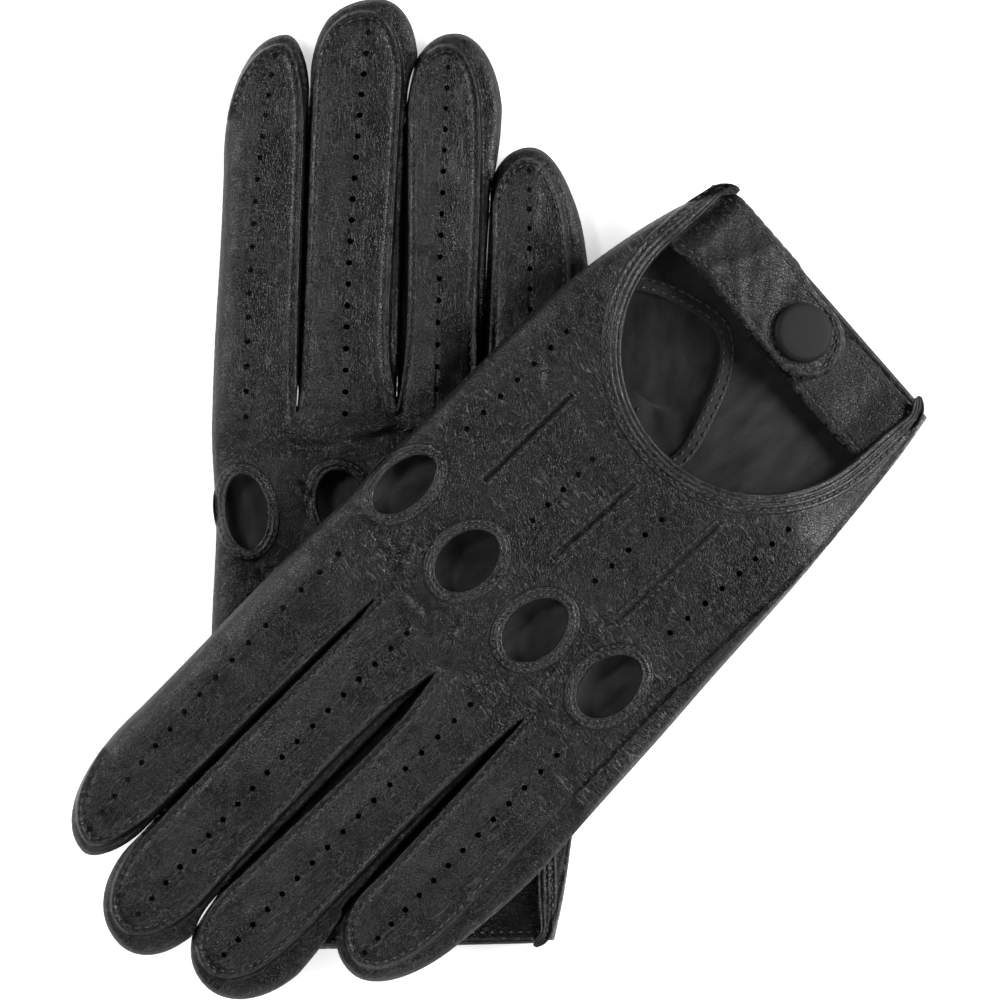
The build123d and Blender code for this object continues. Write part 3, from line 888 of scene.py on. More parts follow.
def leather_material(name, tone=1.0, crackle_and_highlight=1.0, specular=0.27):
    """Black nappa leather: pebbled grain, cloudy sheen and a net of fine creases, raised in the bump and
    painted a lighter grey, partly as wear and partly as painted highlight.
    """
    n = Nodes(name)
    flat = n.pattern()
    on_finger = n.ramp(n.up_the_hand(flat), *CREASES_TURN)
    pebbles = n.ramp(n.voronoi(n.warped(flat, 0.35, 1.6), 1.7, "DISTANCE_TO_EDGE"), 0.0, 0.20)
    small = n.voronoi(n.warped(flat, 1.6, 0.3), 3.4, "SMOOTH_F1")
    patches = n.ramp(n.noise(flat, 0.045, 3.0), 0.40, 0.60)
    on_hand = n.maths("SUBTRACT", 1.0, on_finger)
    across = n.times(n.wavy_lines(n.scaled(flat, ACROSS_HAND), 0.30), on_hand)
    length = n.times(n.wavy_lines(n.scaled(flat, UP_FINGERS), 0.42), n.times(on_finger, 0.5))
    creases = n.times(n.maths("MAXIMUM", across, length), patches)
    cloud = n.noise(flat, 0.06, 4.0)
    fibre = n.noise(flat, 2.2, 5.0, 0.7)
    dark, light = 0.0034 * tone, 0.0070 * tone
    base = n.mix(n.ramp(cloud, 0.3, 0.7), grey(dark, dark * 1.03), grey(light, light * 1.03))
    # Painted highlight, partly wear: the crease lines are painted a light grey, 0.080 times tone, over the
    # dark base.
    crease_wear_and_highlight = n.times(n.times(creases, n.ramp(fibre, 0.22, 0.52)), 0.9 * crackle_and_highlight)
    color = n.mix(crease_wear_and_highlight, base, grey(0.080 * tone, 0.081 * tone))
    roughness = n.plus(n.ramp(cloud, 0.3, 0.72, 0.23, 0.33), n.times(fibre, 0.08))
    grain = n.plus(n.times(pebbles, 0.050), n.times(small, 0.030))
    raised = n.plus(grain, n.times(creases, 0.24 * crackle_and_highlight))
    height = n.plus(raised, n.times(n.noise(flat, 0.5, 4.0), 0.16))
    return n.finish(color, roughness, height, MM, 1.0, specular)


def suede_material(name):
    """The leather's flesh side: a short nap with darker and lighter brushing, painted up to four times
    lighter from Y 62 to Y 95 and on up the hand, as painted light on the inside that shows through the
    knuckle holes.
    """
    n = Nodes(name)
    flat = n.pattern()
    nap = n.noise(flat, 4.5, 6.0, 0.75)
    brushed = n.noise(n.scaled(flat, (1.0, 0.35, 1.0)), 0.22, 3.0)
    shade = n.ramp(n.plus(n.times(nap, 0.5), n.times(brushed, 0.5)), 0.35, 0.65)
    near = n.mix(shade, grey(0.010), grey(0.030))
    # Painted light: up the hand the suede is painted four times lighter, so that the inside seen through the
    # knuckle holes looks lit.
    painted_light_suede = n.mix(shade, grey(0.010 * 4), grey(0.030 * 4))
    color = n.mix(n.ramp(n.up_the_hand(flat), 62.0, 95.0), near, painted_light_suede)
    n.set(n.shader.inputs["Sheen Weight"], 0.08)
    n.set(n.shader.inputs["Sheen Roughness"], 0.5)
    return n.finish(color, 0.93, nap, MM * 0.25, 1.0, 0.12)


def thread_material(name):
    """Twisted black polyester thread."""
    n = Nodes(name)
    twist = n.wave(n.place(), 1.6, 1.2, "DIAGONAL", Detail=2.0)
    color = n.mix(twist, grey(0.012, 0.0123), grey(0.050, 0.051))
    return n.finish(color, 0.36, twist, MM * 0.08, 0.8, 0.5)


def lacquer_material(name):
    """Satin black lacquer on the snap's cap, with fine handling marks."""
    n = Nodes(name)
    place = n.place()
    speckle = n.noise(place, 6.0, 4.0, 0.7)
    scratches = n.noise(n.scaled(place, (0.6, 5.0, 1.0)), 2.0, 3.0)
    color = n.mix(n.ramp(speckle, 0.35, 0.7), grey(0.006, 0.0062), grey(0.012, 0.0124))
    roughness = n.ramp(scratches, 0.35, 0.7, 0.46, 0.56)
    return n.finish(color, roughness, speckle, MM * 0.05, 0.8, 0.10)


def plated_material(name):
    """Gunmetal plating on the snap's hidden parts."""
    n = Nodes(name)
    place = n.place()
    cloud = n.noise(place, 1.2, 4.0)
    turned = n.noise(n.scaled(place, (1.0, 1.0, 9.0)), 3.0, 3.0)
    color = n.mix(n.ramp(cloud, 0.3, 0.7), (0.09, 0.088, 0.085, 1), (0.17, 0.165, 0.16, 1))
    n.set(n.shader.inputs["Metallic"], 1.0)
    return n.finish(color, n.ramp(cloud, 0.3, 0.7, 0.25, 0.42), turned, MM * 0.03, 0.5, 0.5)


def elastic_material(name):
    """Ribbed woven elastic."""
    n = Nodes(name)
    place = n.place()
    ribs = n.wave(place, 1.1, 0.3, "X")
    color = n.mix(n.times(ribs, n.noise(place, 5.0, 3.0)), grey(0.008), grey(0.028))
    return n.finish(color, 0.85, ribs, MM * 0.25, 0.9, 0.2)


def paper_material(name):
    """The pale floor."""
    n = Nodes(name)
    place = n.place()
    color = n.mix(n.noise(place, 0.01, 3.0), grey(0.93), grey(0.95))
    n.set(n.shader.inputs["Emission Color"], (1, 1, 1, 1))
    n.set(n.shader.inputs["Emission Strength"], 0.50)
    return n.finish(color, 0.9, n.noise(place, 0.6, 4.0), MM * 0.05, 0.3, 0.1)


leather = leather_material("black_nappa")
# Painted shade: the fingers' side walls get a darker copy of the leather, tone 0.6, standing in for the shade
# between the fingers.
shaded_wall_leather = leather_material("black_nappa_walls_painted_shade", tone=0.6, crackle_and_highlight=0.5)
piping_leather = leather_material("black_nappa_piping", crackle_and_highlight=0.25, specular=0.38)
strap_leather = leather_material("black_nappa_strap", tone=0.8, crackle_and_highlight=0.6, specular=0.2)
tab_leather = leather_material("black_nappa_tab", tone=0.7, crackle_and_highlight=0.2, specular=0.15)
suede = suede_material("black_suede")
thread = thread_material("black_thread")
lacquer = lacquer_material("snap_lacquer")
plated = plated_material("snap_plating")
elastic = elastic_material("woven_elastic")
skins = (leather, suede)


# ---------------------------------------------------------------- the pattern's triangles, for both gloves

def runs(points, wanted):
    """Splits a polyline into the stretches where wanted is true."""
    parts, part = [], []
    for point, want in zip(points, wanted):
        if want:
            part.append(point)
            continue
        parts.append(part)
        part = []
    return [np.array(stretch) for stretch in parts + [part] if len(stretch) > 1]


# Distances of the extra rows of points beside each line
RIM_OFFSETS = (0.12, 0.4, 0.9, 1.6, 2.5)
SEAM_OFFSETS = (-1.2, -0.6, -0.25, 0.35, 0.8, 1.2, 1.55, 1.95, 2.5)
TUCK_OFFSETS = (-1.9, -1.3, -0.9, -0.5, -0.2, 0.0, 0.2, 0.5, 0.9, 1.3, 1.9)
ROW_OFFSETS = (-0.9, -0.4, 0.0, 0.4, 0.9)

punch_loops = [ellipse(punch, (PUNCH_RADIUS, PUNCH_RADIUS), 0.55) for punch in PUNCHES]
RING_MIDDLES = [(a + RING_WIDTH / 2, b + RING_WIDTH / 2) for a, b in KNUCKLE_HOLES]
knuckle_loops = [ellipse(knuckle, middle) for knuckle, middle in zip(KNUCKLES, RING_MIDDLES)]
back_holes = punch_loops + knuckle_loops
gusset_loop = gusset_line(100)
opening = opening_line(BINDING_PATH)
back_outline = np.vstack([OUTER, opening[::-1]])

panel_runs = runs(PANEL, (outer_line.measure(PANEL)[0] > 0.25) & (PANEL[:, 1] > 4))
back_loops = [(line, False) for line in [OUTER, opening] + panel_runs] + [(loop, True) for loop in back_holes]
back_rows = [beside(OUTER, RIM_OFFSETS), beside(resample(PANEL, 0.8), SEAM_OFFSETS)]
back_rows += [beside(resample(np.array(tuck, float), 0.7), TUCK_OFFSETS) for tuck in PINTUCKS]
back_rows += [beside(row, ROW_OFFSETS) for row in punch_lines]
back_points, back_faces = triangulate(
    back_loops, lambda p: in_loops(p, back_outline, back_holes), HAND_STEP, back_rows
)
palm_loops = [(OUTER, False), (gusset_loop, True), (np.array([OUTER[-1], OUTER[0]]), False)]
palm_points, palm_faces = triangulate(
    palm_loops, lambda p: in_loops(p, OUTER, [gusset_loop]), PALM_STEP, [beside(OUTER, RIM_OFFSETS)]
)
back_fields = fields(back_points)
palm_fields = fields(palm_points)


# ---------------------------------------------------------------- which finger

def side_curve(kind, name, side):
    """One side of a finger from its root to its tip, as heights Y and places X."""
    left, tip, right = FINGERS[name][kind]
    points = left if side < 0 else right
    number = NAMES.index(name) + (side > 0) - 1
    root = [CROTCHES[number]] if 0 <= number < len(CROTCHES) else []
    curve = np.vstack(root + [points, quarter(points[-1], tip), [tip]])
    return curve[:, 1], curve[:, 0]


def separator(number, y):
    """Where the gap between two neighbouring fingers is."""
    left_y, left_x = side_curve("outer", NAMES[number], 1)
    right_y, right_x = side_curve("outer", NAMES[number + 1], -1)
    middle = (np.interp(y, left_y, left_x) + np.interp(y, right_y, right_x)) / 2
    beyond = 200.0 if left_y[-1] > right_y[-1] else -200.0
    return np.where(y > min(left_y[-1], right_y[-1]), beyond, middle)


def finger_numbers(points):
    """0 on the hand, otherwise 1 to 4 from the index finger to the little finger."""
    x, y = points[:, 0], points[:, 1]
    number = np.ones(len(points), int)
    for gap in range(len(CROTCHES)):
        number += x > separator(gap, y)
    start = np.array([0] + [BEND_START[name] for name in NAMES])[number]
    return np.where(y > start, number, 0)


def wall_sides(points, numbers, panel):
    """-1 or 1 on a finger's side walls, 0 elsewhere."""
    x, y = points[:, 0], points[:, 1]
    side = np.zeros(len(points), int)
    for finger, wall_side in WALLS.values():
        left_y, left_x = side_curve("panel", finger, -1)
        right_y, right_x = side_curve("panel", finger, 1)
        centre = (np.interp(y, left_y, left_x) + np.interp(y, right_y, right_x)) / 2
        here = (numbers == NAMES.index(finger) + 1) & (panel < 0) & (y < left_y[-1] - WALL_TIP)
        side = np.where(here & ((x > centre) == (wall_side > 0)), wall_side, side)
    return side


def shared_edge():
    """The palm's points as numbers in the whole shell. Only those edge points are shared with the back
    that lie within JOIN_REACH of the measured outer line, so the edge is joined at some of its points and
    stays open between them."""
    match = point_tree(back_points)
    numbers = np.arange(len(palm_points)) + len(back_points)
    for index in np.nonzero(palm_fields["outer"] < JOIN_REACH)[0]:
        _, other, away = match.find((*palm_points[index], 0))
        if away < SAME_POINT:
            numbers[index] = other
    return numbers


back_centres = back_points[back_faces].mean(axis=1)
back_finger = finger_numbers(back_centres)
back_side = wall_sides(back_centres, back_finger, fields(back_centres)["panel"])
shell_xy = np.vstack([back_points, palm_points])
shell_faces = np.vstack([back_faces, shared_edge()[palm_faces][:, ::-1]])
shell_finger = np.r_[back_finger, finger_numbers(palm_points[palm_faces].mean(axis=1))]
shell_side = np.r_[back_side, np.zeros(len(palm_faces), int)]


def edge_lap(points):
    """1 where a finger's edge lies over its neighbour's, -1 where it lies under it, fading to 0."""
    x, y = points[:, 0], points[:, 1]
    tips = [FINGERS[name]["outer"][1][1] for name in NAMES]
    lap = np.zeros(len(points))
    for gap in range(len(CROTCHES)):
        shorter = min(tips[gap], tips[gap + 1])
        away = x - separator(gap, np.minimum(y, shorter - 0.1))
        lap -= np.sign(away) * bump(away, 1.2) * smooth((y - 132.5) / 7) * smooth((shorter - y) / 7)
    return lap


def follow_finger(obj, glove, name, *parts):
    """Finds the stretch of BEND_LENGTH from where a finger starts to bend and passes it, with the piece, to
    Glove.bend.
    """
    base = np.array(FINGER_BASE[name])
    along = FINGERS[name]["panel"][1] - base
    along /= np.linalg.norm(along)
    start = np.array([base + along * (BEND_START[name] - base[1])])
    end = start + along * BEND_LENGTH
    level = np.array([0.0])
    glove.bend(obj, name, glove.place(start, level)[0], glove.place(end, level)[0], *parts)


def build_shell(glove):
    """The hand, the fingers and their side walls, cut from the back's and the palm's surfaces."""
    heights = np.r_[top_height(back_points, back_fields, glove), palm_height(palm_points, palm_fields, glove)]
    lap = edge_lap(shell_xy)
    lying = np.column_stack([shell_xy[:, 0] + LAP_SIDEWAYS * lap, shell_xy[:, 1]])
    verts = glove.place(lying, heights + LAP_UP * lap)
    faces = shell_faces if glove.side == "right" else shell_faces[:, ::-1]
    normals = vertex_normals(verts, faces)
    inward = -smoothed(normals, faces)
    pattern = material_point(shell_xy, glove, 0.0)
    pattern[len(back_points):, 2] = PALM_LAYER

    def cut(name, mine, materials):
        full_name = f"{glove.side}_{name}_leather"
        return thick_piece(full_name, verts, faces[mine], normals, inward, pattern, materials)

    glove.give(cut("hand", shell_finger == 0, skins), "trank")
    for number, name in enumerate(NAMES, 1):
        finger = cut(name, (shell_finger == number) & (shell_side == 0), skins)
        follow_finger(finger, glove, name, f"{name}_finger")
    for wall, (name, side) in WALLS.items():
        mine = (shell_finger == NAMES.index(name) + 1) & (shell_side == side)
        follow_finger(cut(wall, mine, (shaded_wall_leather, suede)), glove, name, wall)


# ---------------------------------------------------------------- closed pieces and swept edges

def turned_out(verts, faces):
    """Faces of a closed mesh, flipped if they look inwards."""
    volume = 0.0
    for f in faces:
        for b, c in zip(f[1:], f[2:]):
            volume += np.dot(verts[f[0]], np.cross(verts[b], verts[c]))
    return faces if volume > 0 else [tuple(f)[::-1] for f in faces]


def closed_object(name, verts, faces, pattern, material):
    return make_object(name, verts, turned_out(verts - verts.mean(axis=0), faces), None, pattern, (material,))


def grid_faces(rows, columns, wrap_rows, wrap_columns):
    faces = []
    for r in range(rows if wrap_rows else rows - 1):
        for c in range(columns if wrap_columns else columns - 1):
            a, b = r * columns + c, r * columns + (c + 1) % columns
            d, e = ((r + 1) % rows) * columns + c, ((r + 1) % rows) * columns + (c + 1) % columns
            faces.append((a, b, e, d))
    return faces


def grid_triangles(rows, columns):
    """Triangles of a grid that closes round its columns."""
    quads = grid_faces(rows, columns, False, True)
    return [part for a, b, c, d in quads for part in ((a, b, c), (a, c, d))]


def tube_faces(rows, columns):
    """Faces of a tube of closed sections, with both ends shut."""
    ends = [tuple(range(columns))[::-1], tuple(range((rows - 1) * columns, rows * columns))]
    return grid_faces(rows, columns, False, True) + ends


def by_station(points, ring, stations):
    """Points given line by line along a sweep, put in order section by section."""
    return points.reshape(ring, stations, 3).transpose(1, 0, 2).reshape(-1, 3)


def sweep(name, glove, path, profile, closed, material, height_of, layer, lifts, widths=1.0):
    """Sweeps a profile along a path over the surface that height_of describes. lifts are the heights of
    the profile's points over that surface, one row each, and widths scale it sideways along the path."""
    normal = outward(path, closed)
    stations, ring = len(path), len(profile)
    width = np.broadcast_to(widths, stations)[:, None]
    xy = np.vstack([path + normal * across * width for across, _ in profile])
    verts = glove.place(xy, height_of(xy, fields(xy), glove) + np.concatenate(lifts))
    faces = grid_faces(stations, ring, True, True) if closed else tube_faces(stations, ring)
    flat = by_station(material_point(xy, glove, layer), ring, stations)
    return closed_object(name, by_station(verts, ring, stations), faces, flat, material)


def sweep_on_top(name, glove, path, profile, closed, material, wobble, raised=0.0, share=1.0):
    """A sweep over the back of the hand. raised lifts its top and share narrows it, along the path."""
    stations = len(path)
    taper = np.ones(stations)
    if not closed:
        from_end = np.minimum(np.arange(stations), np.arange(stations)[::-1]) / 3.0
        taper = np.sqrt(np.clip(1 - (1 - np.clip(from_end, 0.05, 1)) ** 2, 0.05, 1))
    swell = 1 + wobble * np.array([noise.noise((k * 0.9, glove.seed, 2.0)) for k in range(stations)])
    lifts = [height * taper * swell + (raised if height > 0 else 0) for _, height in profile]
    widths = taper * share
    return sweep(name, glove, path, profile, closed, material, top_height, EDGE_LAYER, lifts, widths)


def sweep_inside(name, glove, path, profile, closed, material, wobble=0.0):
    """A sweep over the inside of the palm. Heights are measured from the palm's outside."""
    swell = 1 + wobble * np.array([noise.noise((k * 0.4, glove.seed, 7.0)) for k in range(len(path))])
    lifts = [height * swell for _, height in profile]
    return sweep(name, glove, path, profile, closed, material, palm_height, INSIDE_LAYER, lifts)


# Sections of the sewn edges: across the path, height
RING_PROFILE = (
    (-1.45, -1.1), (-1.55, -0.2), (-1.45, 0.38), (-1.15, 0.70), (-0.85, 0.62), (-0.55, 0.33),
    (-0.25, 0.62), (0.1, 0.80), (0.45, 0.67), (0.72, 0.30), (1.0, 0.46), (1.3, 0.42), (1.55, 0.09),
    (1.6, -0.35), (0.2, -0.6),
)
BINDING_PROFILE = (
    (-1.7, -1.5), (-1.95, -0.5), (-1.85, 0.4), (-1.5, 0.95), (-1.1, 0.98), (-0.8, 0.5), (-0.5, 0.85),
    (-0.1, 0.98), (0.3, 0.80), (0.55, 0.35), (0.8, 0.62), (1.2, 0.72), (1.6, 0.55), (1.85, 0.18),
    (2.1, 0.12), (2.4, 0.34), (2.9, 0.32), (3.3, 0.05), (3.35, -0.4), (0.0, -0.9),
)
GUSSET_SEAM_PROFILE = (
    (-1.6, 0.7), (-1.7, 1.3), (-1.2, 1.75), (-0.3, 1.85), (0.6, 1.8), (1.5, 1.5), (1.9, 1.0), (0.0, 0.7),
)
HEM_PROFILE = (
    (0.1, 0.0), (0.75, 0.35), (0.95, 1.1), (0.75, 1.8), (0.2, 2.15), (-0.5, 2.0), (-1.6, 1.95), (-3.8, 1.95),
    (-4.7, 1.75), (-5.0, 1.35), (-4.9, 1.0), (-3.0, 0.93), (-0.2, 0.93), (0.02, 0.5),
)
ELASTIC_PROFILE = ((-5.6, 0.95), (-5.6, 1.6), (-5.9, 1.75), (-12.3, 1.75), (-12.6, 1.6), (-12.6, 0.95))


def root_rise(path):
    """The binding climbs over the strap's root on the index side, and a little over the tab's."""
    x, y = path[:, 0], path[:, 1]
    return (1 - smooth((y - 10) / 16)) * np.where(x < 0, 1.7, 0.8)


def join_meshes(name, parts):
    """One object from several of the same material."""
    bpy.ops.object.select_all(action="DESELECT")
    for part in parts:
        part.select_set(True)
    bpy.context.view_layer.objects.active = parts[0]
    bpy.ops.object.join()
    parts[0].name = name
    parts[0].data.name = name
    return parts[0]


def build_edges(glove):
    """The sewn rings round the knuckle holes and the binding round the wrist opening."""
    rings = []
    for number, (centre, middle) in enumerate(zip(KNUCKLES, RING_MIDDLES)):
        path = ellipse(centre, middle, 0.6)
        rings.append(sweep_on_top(f"ring_{number}", glove, path, RING_PROFILE, True, piping_leather, 0.10))
    glove.give(join_meshes(f"{glove.side}_knuckle_rings", rings), "knuckle_bindings")
    path = opening_line(BINDING_PATH, -1.0 - 0.6 * glove.flare)[::-1]
    path[:, 0] -= np.sign(path[:, 0]) * 3.0 * smooth((4.5 - path[:, 1]) / 6.5) ** 2
    narrow = 1 - 0.42 * smooth((12 - path[:, 1]) / 12)
    binding = sweep_on_top(
        f"{glove.side}_wrist_binding", glove, path, BINDING_PROFILE, False, piping_leather, 0.08,
        root_rise(path), narrow,
    )
    glove.give(binding, "opening_binding")


# ---------------------------------------------------------------- threads

STITCH_POINTS = 5
STITCH_ARCH = np.array([-0.30, 0.10, 0.20, 0.10, -0.30])
STITCH_SWELL = np.array([0.45, 0.95, 1.0, 0.95, 0.45])
THREAD_SIDES = 6
SEAM_STITCH = (1.45, 0.85)  # length and gap
STRAP_STITCH = (1.5, 0.85)
SEAM_INSET = 1.55
TUCK_SIDE = 1.25
BINDING_SEAMS = (0.62, 1.98)  # outside the binding's middle
BINDING_SEAM_LIFT = 0.30


def stitch_marks(path, length, gap, closed=False):
    """Cuts a path into stitches of STITCH_POINTS points each."""
    line = np.vstack([path, path[:1]]) if closed else np.asarray(path, float)
    arc = arc_lengths(line)
    count = max(1, int(round((arc[-1] + (0 if closed else gap)) / (length + gap))))
    pitch = arc[-1] / count if closed else (arc[-1] + gap) / count
    starts = np.arange(count) * pitch
    marks = starts[:, None] + np.linspace(0, 1, STITCH_POINTS)[None, :] * (pitch - gap)
    return np.stack([np.interp(marks, arc, line[:, k]) for k in range(line.shape[1])], axis=2)


def arched(points):
    """The height of each stitch point over its seam."""
    return np.tile(STITCH_ARCH, len(points) // STITCH_POINTS)


def thread_object(name, strokes, radius):
    """Short threads through the given points, in metres. strokes is count x points x 3."""
    strokes = np.asarray(strokes, float).reshape(-1, STITCH_POINTS, 3)
    tangent = unit(np.gradient(strokes, axis=1))
    side = unit(np.cross(tangent, (0.0, 0.0, 1.0)))[:, :, None, :]
    lift = np.cross(side[:, :, 0], tangent)[:, :, None, :]
    angle = np.linspace(0, 2 * math.pi, THREAD_SIDES, endpoint=False)[None, None, :, None]
    ring = side * np.cos(angle) + lift * np.sin(angle)
    size = radius * MM * STITCH_SWELL[None, :, None, None]
    verts = (strokes[:, :, None, :] + ring * size).reshape(-1, 3)
    step = STITCH_POINTS * THREAD_SIDES
    one = turned_out(verts[:step] - verts[:step].mean(axis=0), tube_faces(STITCH_POINTS, THREAD_SIDES))
    faces = [tuple(v + n * step for v in f) for n in range(len(strokes)) for f in one]
    return make_object(name, verts, faces, None, None, (thread,))


def stitch_rows():
    """Stitch rows along the finger panels' edges, pintucks, the wrist opening and the knuckle holes, each
    with its lift."""
    moved = PANEL + outward(PANEL, False) * SEAM_INSET
    clear = panel_line.measure(moved)[0] > SEAM_INSET * 0.93
    folded = (fold_line.measure(PANEL)[0] < 3) & (PANEL[:, 0] < -22)
    on_little_side = (PANEL[:, 0] > 46.5) & (PANEL[:, 1] < 150)
    on_seam = clear & (PANEL[:, 1] > 118) & ~on_little_side & ~folded
    rows = [(stitch_marks(run, *SEAM_STITCH), 0.0) for run in runs(moved, on_seam & inside(moved, PANEL))]
    for tuck in PINTUCKS:
        line = np.array(tuck, float)
        across = outward(line, False)[0] * TUCK_SIDE
        for side in (-across, across):
            rows.append((stitch_marks(resample(line + side, 0.8), 1.35, 0.75), 0.02))
        for end in line:
            bar = np.array([end - across, end + across])
            rows.append((stitch_marks(resample(bar, 0.4), 2.3, 0.2), 0.1))
    for centre, (a, b) in zip(KNUCKLES, RING_MIDDLES):
        for aside in (-0.55, 0.72):
            rows.append((stitch_marks(ellipse(centre, (a + aside, b + aside), 0.4), 1.0, 0.6, True), 0.37))
    for aside in BINDING_SEAMS:
        rows.append((stitch_marks(opening_line(BINDING_PATH + aside, 2.0), 1.3, 0.75), BINDING_SEAM_LIFT))
    return rows


STITCH_ROWS = stitch_rows()


def build_stitches(glove):
    marks = np.vstack([row for row, _ in STITCH_ROWS])
    lifts = np.concatenate([np.full(len(row), lift) for row, lift in STITCH_ROWS])
    flat = marks.reshape(-1, 2)
    from_centre = flat - OPENING_CENTRE
    past_path = np.hypot(from_centre[:, 0], np.maximum(from_centre[:, 1], 0)) - BINDING_PATH
    on_binding = np.abs(past_path - np.mean(BINDING_SEAMS)) < 1.0
    height = top_height(flat, fields(flat), glove) + np.repeat(lifts, STITCH_POINTS) + arched(flat)
    height += np.where(on_binding, root_rise(flat), 0.0)
    points = glove.place(flat, height).reshape(-1, STITCH_POINTS, 3)
    numbers = finger_numbers(marks[:, STITCH_POINTS // 2])
    for number, name in enumerate(("hand",) + NAMES):
        stitches = thread_object(f"{glove.side}_{name}_stitches", points[numbers == number], 0.21)
        if number:
            follow_finger(stitches, glove, name)
        else:
            glove.give(stitches)


# ---------------------------------------------------------------- thumb and gusset

THUMB_SHOULDER = THUMB_LENGTH - THUMB_TIP
THUMB_STITCH_HEIGHT = 1.95
GUSSET_ROWS = 16
GUSSET_SEAM_HEIGHT = 1.85


def thumb_point(glove, xyz):
    """Thumb millimetres (Y towards its tip, Z 0 in its middle) to the row frame."""
    lean = math.radians(THUMB_LEAN)
    x, y = xyz[:, 0], xyz[:, 1]
    px = THUMB_AT[0] + x * math.cos(lean) + y * math.sin(lean)
    py = THUMB_AT[1] - x * math.sin(lean) + y * math.cos(lean)
    return glove.place_free(np.column_stack([px, py, xyz[:, 2] + glove.thumb_middle]))


def thumb_half_width(y):
    return THUMB_HALF_WIDTH - 0.9 * smooth(y / 40)


def thumb_section(y, half_width, half_height, seed):
    """One closed section of the thumb's sleeve, with a seam's ridge at both edges."""
    angle = np.linspace(0, 2 * math.pi, THUMB_RING, endpoint=False)
    c, s = np.cos(angle), np.sin(angle)
    x = half_width * np.sign(c) * np.abs(c) ** 0.8
    z = half_height * np.sign(s) * np.abs(s) ** 0.75
    coarse = np.array([noise.noise((a * 0.12, y * 0.13, seed)) for a in x])
    fine = np.array([noise.noise((a * 0.3, y * 0.35, seed)) for a in x])
    return np.column_stack([x, np.full(THUMB_RING, y), z * (0.93 + 0.14 * (coarse + 0.6 * fine))])


def thumb_sections(glove):
    """The sleeve's sections from its flattened heel to its round tip."""
    turns = np.linspace(0, math.pi / 2, 14)[:-1]
    sections = []
    for y in np.r_[np.arange(-THUMB_HEEL, THUMB_SHOULDER, 1.5), THUMB_SHOULDER + THUMB_TIP * np.sin(turns)]:
        beyond = max(0.0, (y - THUMB_SHOULDER) / THUMB_TIP)
        half = thumb_half_width(y) * math.sqrt(max(0.0, 1 - beyond ** 2))
        flattened = 1 - 0.5 * smooth((1.0 - y) / 6.0)
        half_height = THUMB_HALF_HEIGHT * flattened * rounded((1 - beyond) * 3.0)
        section = thumb_section(y, half, half_height, glove.seed)
        section[:, 2] -= THUMB_HALF_HEIGHT * (1 - flattened)
        sections.append(section)
    return sections


def build_thumb(glove):
    sections = thumb_sections(glove)
    grid = np.vstack(sections + [np.array([[0.0, THUMB_LENGTH, 0.0]])])
    faces = grid_triangles(len(sections), THUMB_RING)
    last = (len(sections) - 1) * THUMB_RING
    faces += [(last + k, last + (k + 1) % THUMB_RING, len(grid) - 1) for k in range(THUMB_RING)]
    faces = np.array(faces)
    verts = thumb_point(glove, grid)
    normals = vertex_normals(verts, faces)
    if np.sum(normals * (verts - verts.mean(axis=0))) < 0:
        faces, normals = faces[:, ::-1], -normals
    flat = grid + THUMB_PATCH
    name = f"{glove.side}_thumb_leather"
    sleeve = thick_piece(name, verts, faces, normals, -normals, flat, skins, SLEEVE_LEATHER)
    glove.give(sleeve, "thumb", body=f"{glove.side}_thumb")
    build_thumb_stitches(glove)
    build_gusset(glove, sections[0])


def build_thumb_stitches(glove):
    """A row along both edges of the thumb, on its upper and its lower side."""
    rows = []
    y = -4.0 + np.linspace(0, 1, 80) * (THUMB_LENGTH - 2.5)
    beyond = np.clip((y - THUMB_SHOULDER) / THUMB_TIP, 0, 1)
    for side in (-1, 1):
        x = side * (thumb_half_width(y) - 2.2) * np.sqrt(1 - beyond ** 2 * 0.97)
        rows.append(stitch_marks(np.column_stack([x, y, np.full(len(y), THUMB_STITCH_HEIGHT)]), *SEAM_STITCH))
    marks = np.vstack(rows)
    marks[:, :, 2] += STITCH_ARCH * 0.9 - 0.05
    both = np.vstack([marks, marks * (1, 1, -1.0)])
    seams = thread_object(f"{glove.side}_thumb_stitches", thumb_point(glove, both.reshape(-1, 3)), 0.2)
    glove.give(seams, body=f"{glove.side}_thumb")


def gusset_bend(rim, mouth):
    """The two points between which the gusset's leather turns, one by the rim in the palm and one by the
    thumb's mouth. Depths are taken from the plane that fits the rim."""
    plane, *_ = np.linalg.lstsq(np.column_stack([rim[:, :2], np.ones(len(rim))]), rim[:, 2], rcond=None)
    down = np.array([plane[0], plane[1], -1.0])
    near, far = (rim @ down).max(), (mouth @ down).min()
    here = rim.mean(axis=0)
    here = here + down * (near - here @ down) / (down @ down)
    return here, here + down * (far - near) / (down @ down)


def gusset_rows(glove, start, finish):
    """Closed rows of the gusset from the palm's hole to the thumb's mouth, sagging and pleated between."""
    angle = np.linspace(0, 2 * math.pi, THUMB_RING, endpoint=False)
    rows = []
    for t in np.linspace(0, 1, GUSSET_ROWS):
        sag = 4.2 * math.sin(math.pi * min(1.0, t * 1.1)) * (1 - t) * 0.35 * (np.sin(angle) < 0.2)
        pleat = 0.35 * np.sin(angle * 9 + glove.seed) * math.sin(math.pi * t)
        row = start * (1 - smooth(t)) + finish * smooth(t)
        row[:, 2] -= (sag + pleat) * MM
        rows.append(row)
    return rows


